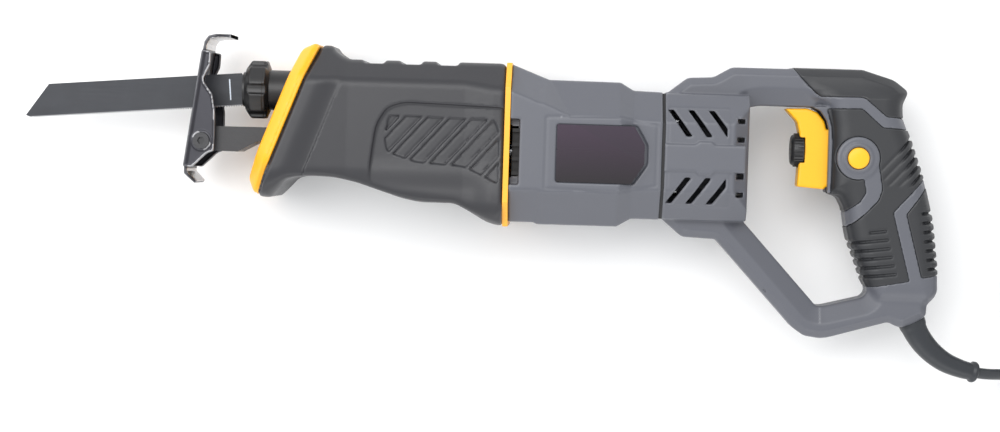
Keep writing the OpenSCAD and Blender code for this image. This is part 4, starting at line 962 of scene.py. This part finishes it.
def handle_field(left):
    def field(x, y, z):
        side = z if left else -z
        size = np.abs(z)
        solid = handle_solid(x, y, size)
        pads = pad_area(x, y)
        skin = both(solid, -both(pads - 0.12, -(solid + 1.55)))
        d = both(skin, -(solid + 2.9))
        for bx, by in BOSSES:
            boss = both(np.hypot(x - bx, y - by) - 4, size - 12)
            d = np.minimum(d, both(boss, solid + 0.5))
        if left:
            from_button = np.hypot(x - BUTTON[0], y - BUTTON[1])
            step_down = 0.5 * ease((from_button - 8.4) / 0.4)
            ring = both(both(from_button - 12, size - 19.2 + step_down, 0.8), 15.5 - size)
            d = both(either(d, ring, 0.2), 6.25 - from_button, 0.3)
        for vent in VENTS:
            slit = outline(x, y, soften(vent, 0.7))
            mirrored = outline(x, -y, soften(vent, 0.7))
            d = both(d, -both(both(np.minimum(slit, mirrored), x - 123), 26 - size), 0.5)
        for low, high in ((19.4, 22.1), (9, 11.8), (-11.7, -8.5), (-21.9, -19.1)):
            tall = np.abs(y - (low + high) / 2) - (high - low) / 2
            notch = both(both(np.abs(x - 131) - 2.2, tall), 24 - size)
            d = both(d, -notch, 0.4)
        slot = both(both(np.abs(x - 181) - 11.5, np.abs(y - 6.2) - 24), size - 7.9)
        along, across = gland_axes(x, y)
        cord_way = both(np.hypot(across, z) - 4.3, -25 - along)
        bearing = both(np.hypot(y, z) - 11.05, x - 100.5)
        d = both(d, -np.minimum(np.minimum(slot, cord_way), bearing), 0.2)
        for bx, by in BOSSES:
            blind = 1.6 - np.hypot(x - bx, y - by)
            d = both(d, -both(-blind, size - 11.05) if left else blind)
            if not left:
                d = both(d, -both(np.hypot(x - bx, y - by) - 3.2, 11.5 - size), 0.2)
        for by in (-20, 20):
            d = both(d, -both(np.hypot(size - 17, y - by) - 2.05, x - 101.5))
        return both(d, 0.02 - side, 0.35)
    return field


low, high = (86, -104, -1), (249, 55, 38)
moulding("left_shell", handle_field(True), low, high, 0.9, "body", [housing_plastic],
                      ["handle_left"])
moulding("right_shell", handle_field(False), (86, -104, -38), (249, 55, 1), 0.9, "body",
                       [housing_plastic], ["handle_right"])

# ---- Grip pads -------------------------------------------------------------------------
# Soft rubber moulded over the grip on both sides, grooved for the fingers in front and for
# the palm behind.
grip_rubber = moulded("grip_rubber", (0.02, 0.021, 0.024), 0.46, 2600, 0.00005, 0.18, 0.14)


def pad_field(left):
    def field(x, y, z):
        side = z if left else -z
        solid = handle_solid(x, y, np.abs(z))
        worn = solid - 0.3 + grip_wear(x, y)
        d = both(both(worn, pad_area(x, y) + 0.05, 0.5), -(solid + 1.5))
        slot = both(both(np.abs(x - 181) - 11.5, np.abs(y - 6.2) - 24), np.abs(z) - 7.9)
        d = both(d, -slot, 0.3)
        return both(d, 0.02 - side)
    return field


moulding("left_pads", pad_field(True), (155, -76, -1), (250, 56, 21), 0.6, "body",
                     [grip_rubber], ["grip_left"])
moulding("right_pads", pad_field(False), (155, -76, -21), (250, 56, 1), 0.6, "body",
                      [grip_rubber], ["grip_right"])

# ---- Trigger, speed dial and lock button -----------------------------------------------
# The trigger carries the speed dial in a pocket of its front face; the round button beside
# the grip holds it in.
TRIGGER_EDGE = soften([
    (157.3, 29.4), (170, 29.8), (176, 27.6), (180, 22.6), (181.3, 17.6), (184.5, 17.6), (184.5, -13.8),
    (181.8, -14.8), (180.7, -16.1), (165.3, -15), (165.9, -3.7), (165.9, 15.3),
    (164.2, 22.1), (159.6, 27)], 1.2)


def trigger_field(x, y, z):
    d = both(outline(x, y, TRIGGER_EDGE), np.abs(z) - 7.5, 1.8)
    d = np.minimum(d, both(both(np.abs(x - 181) - 5.4, np.abs(y - 2) - 16), np.abs(z) - 7.4, 0.5))
    wheel = np.hypot(y - 5.9, z)
    d = both(d, -both(wheel - 10.15, np.abs(x - 164.8) - 4.5), 0.3)
    return both(d, -both(wheel - 2.1, np.abs(x - 171) - 4.5))


trigger_yellow = moulded("trigger_yellow", (0.95, 0.47, 0.006), 0.42, 2600, 0.00003, 0.05, 0.1)
moulding("trigger_blade", trigger_field, (156, -18, -9), (188, 32, 9), 0.45, "trigger", [trigger_yellow],
         ["trigger"])

DIAL_Y = 5.9
DIAL_X = 161.5
dial_profile = [(0, 0.2), (1e-4, 7.2), (0.4, 8.2), (1.7, 8.9), (1.9, 9.0), (7.0, 9.0), (7.5, 8.7),
                (7.5, 8.0), (7.5, 2.0), (12.9, 2.0), (13.0, 1.6)]
verts, faces = loft([(DIAL_X + x, DIAL_Y, 0.0) for x, r in dial_profile], [r for x, r in dial_profile], 48)
dial_core = new_piece("dial_core", verts, faces, "dial", [black_plastic])


def rib_ring(name, count, radius, size, place, body, material):
    """A ring of equal bars about X, built by nodes on a circle and kept as a plain mesh."""
    tree = bpy.data.node_groups.new(name, "GeometryNodeTree")
    tree.interface.new_socket("Geometry", in_out="OUTPUT", socket_type="NodeSocketGeometry")
    given = (("Ribs", "Int", count), ("Radius", "Float", radius / 1000),
             ("Rib size", "Vector", [s / 1000 for s in size]))
    sockets = [tree.interface.new_socket(label, in_out="INPUT", socket_type="NodeSocket" + kind)
               for label, kind, value in given]
    enter = tree.nodes.new("NodeGroupInput")
    circle = tree.nodes.new("GeometryNodeMeshCircle")
    tree.links.new(enter.outputs["Ribs"], circle.inputs["Vertices"])
    tree.links.new(enter.outputs["Radius"], circle.inputs["Radius"])
    bar = tree.nodes.new("GeometryNodeMeshCube")
    tree.links.new(enter.outputs["Rib size"], bar.inputs["Size"])
    copies = tree.nodes.new("GeometryNodeInstanceOnPoints")
    tree.links.new(circle.outputs["Mesh"], copies.inputs["Points"])
    tree.links.new(bar.outputs["Mesh"], copies.inputs["Instance"])
    index = tree.nodes.new("GeometryNodeInputIndex")
    pitch = math_node(tree, "DIVIDE", 2 * math.pi, enter.outputs["Ribs"])
    angle = math_node(tree, "MULTIPLY", index.outputs[0], pitch)
    spin = tree.nodes.new("ShaderNodeCombineXYZ")
    tree.links.new(angle, spin.inputs["Z"])
    tree.links.new(spin.outputs[0], copies.inputs["Rotation"])
    real = tree.nodes.new("GeometryNodeRealizeInstances")
    tree.links.new(copies.outputs[0], real.inputs[0])
    move = tree.nodes.new("GeometryNodeTransform")
    move.inputs["Rotation"].default_value = (0, math.pi / 2, 0)
    move.inputs["Translation"].default_value = saw(*place)
    tree.links.new(real.outputs[0], move.inputs["Geometry"])
    paint = tree.nodes.new("GeometryNodeSetMaterial")
    paint.inputs["Material"].default_value = material
    tree.links.new(move.outputs[0], paint.inputs["Geometry"])
    leave = tree.nodes.new("NodeGroupOutput")
    tree.links.new(paint.outputs[0], leave.inputs[0])
    holder = bpy.data.objects.new(name, bpy.data.meshes.new(name + "_seed"))
    bpy.context.scene.collection.objects.link(holder)
    ring = holder.modifiers.new("ring", "NODES")
    ring.node_group = tree
    for socket, (label, kind, value) in zip(sockets, given):
        ring[socket.identifier] = value
    grown = holder.evaluated_get(bpy.context.evaluated_depsgraph_get())
    mesh = bpy.data.meshes.new_from_object(grown)
    holder.modifiers.clear()
    holder.data = mesh
    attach(holder, body)
    return holder


dial_ribs = rib_ring("dial_ribs", 28, 9.15, (0.9, 0.62, 5.0), (165.9, DIAL_Y, 0), "dial", black_plastic)
for piece in (dial_core, dial_ribs):
    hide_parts("speed_dial")


def turned(name, centre, profile, body, material, sides=48):
    """A round piece about an upright line, from (z, radius) pairs."""
    angle = np.arange(sides) * 2 * math.pi / sides
    verts = [(centre[0] + r * math.cos(a), centre[1] + r * math.sin(a), z) for z, r in profile for a in angle]
    return new_piece(name, verts, ring_faces(len(profile), sides), body, [material])


cap_profile = [(14.4, 5.6), (14.8, 6), (19.7, 6), (20.3, 5.7), (20.6, 5.0), (20.5, 0.8)]
lock_cap = turned("lock_cap", BUTTON, cap_profile, "button", trigger_yellow)
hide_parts("lock_button")
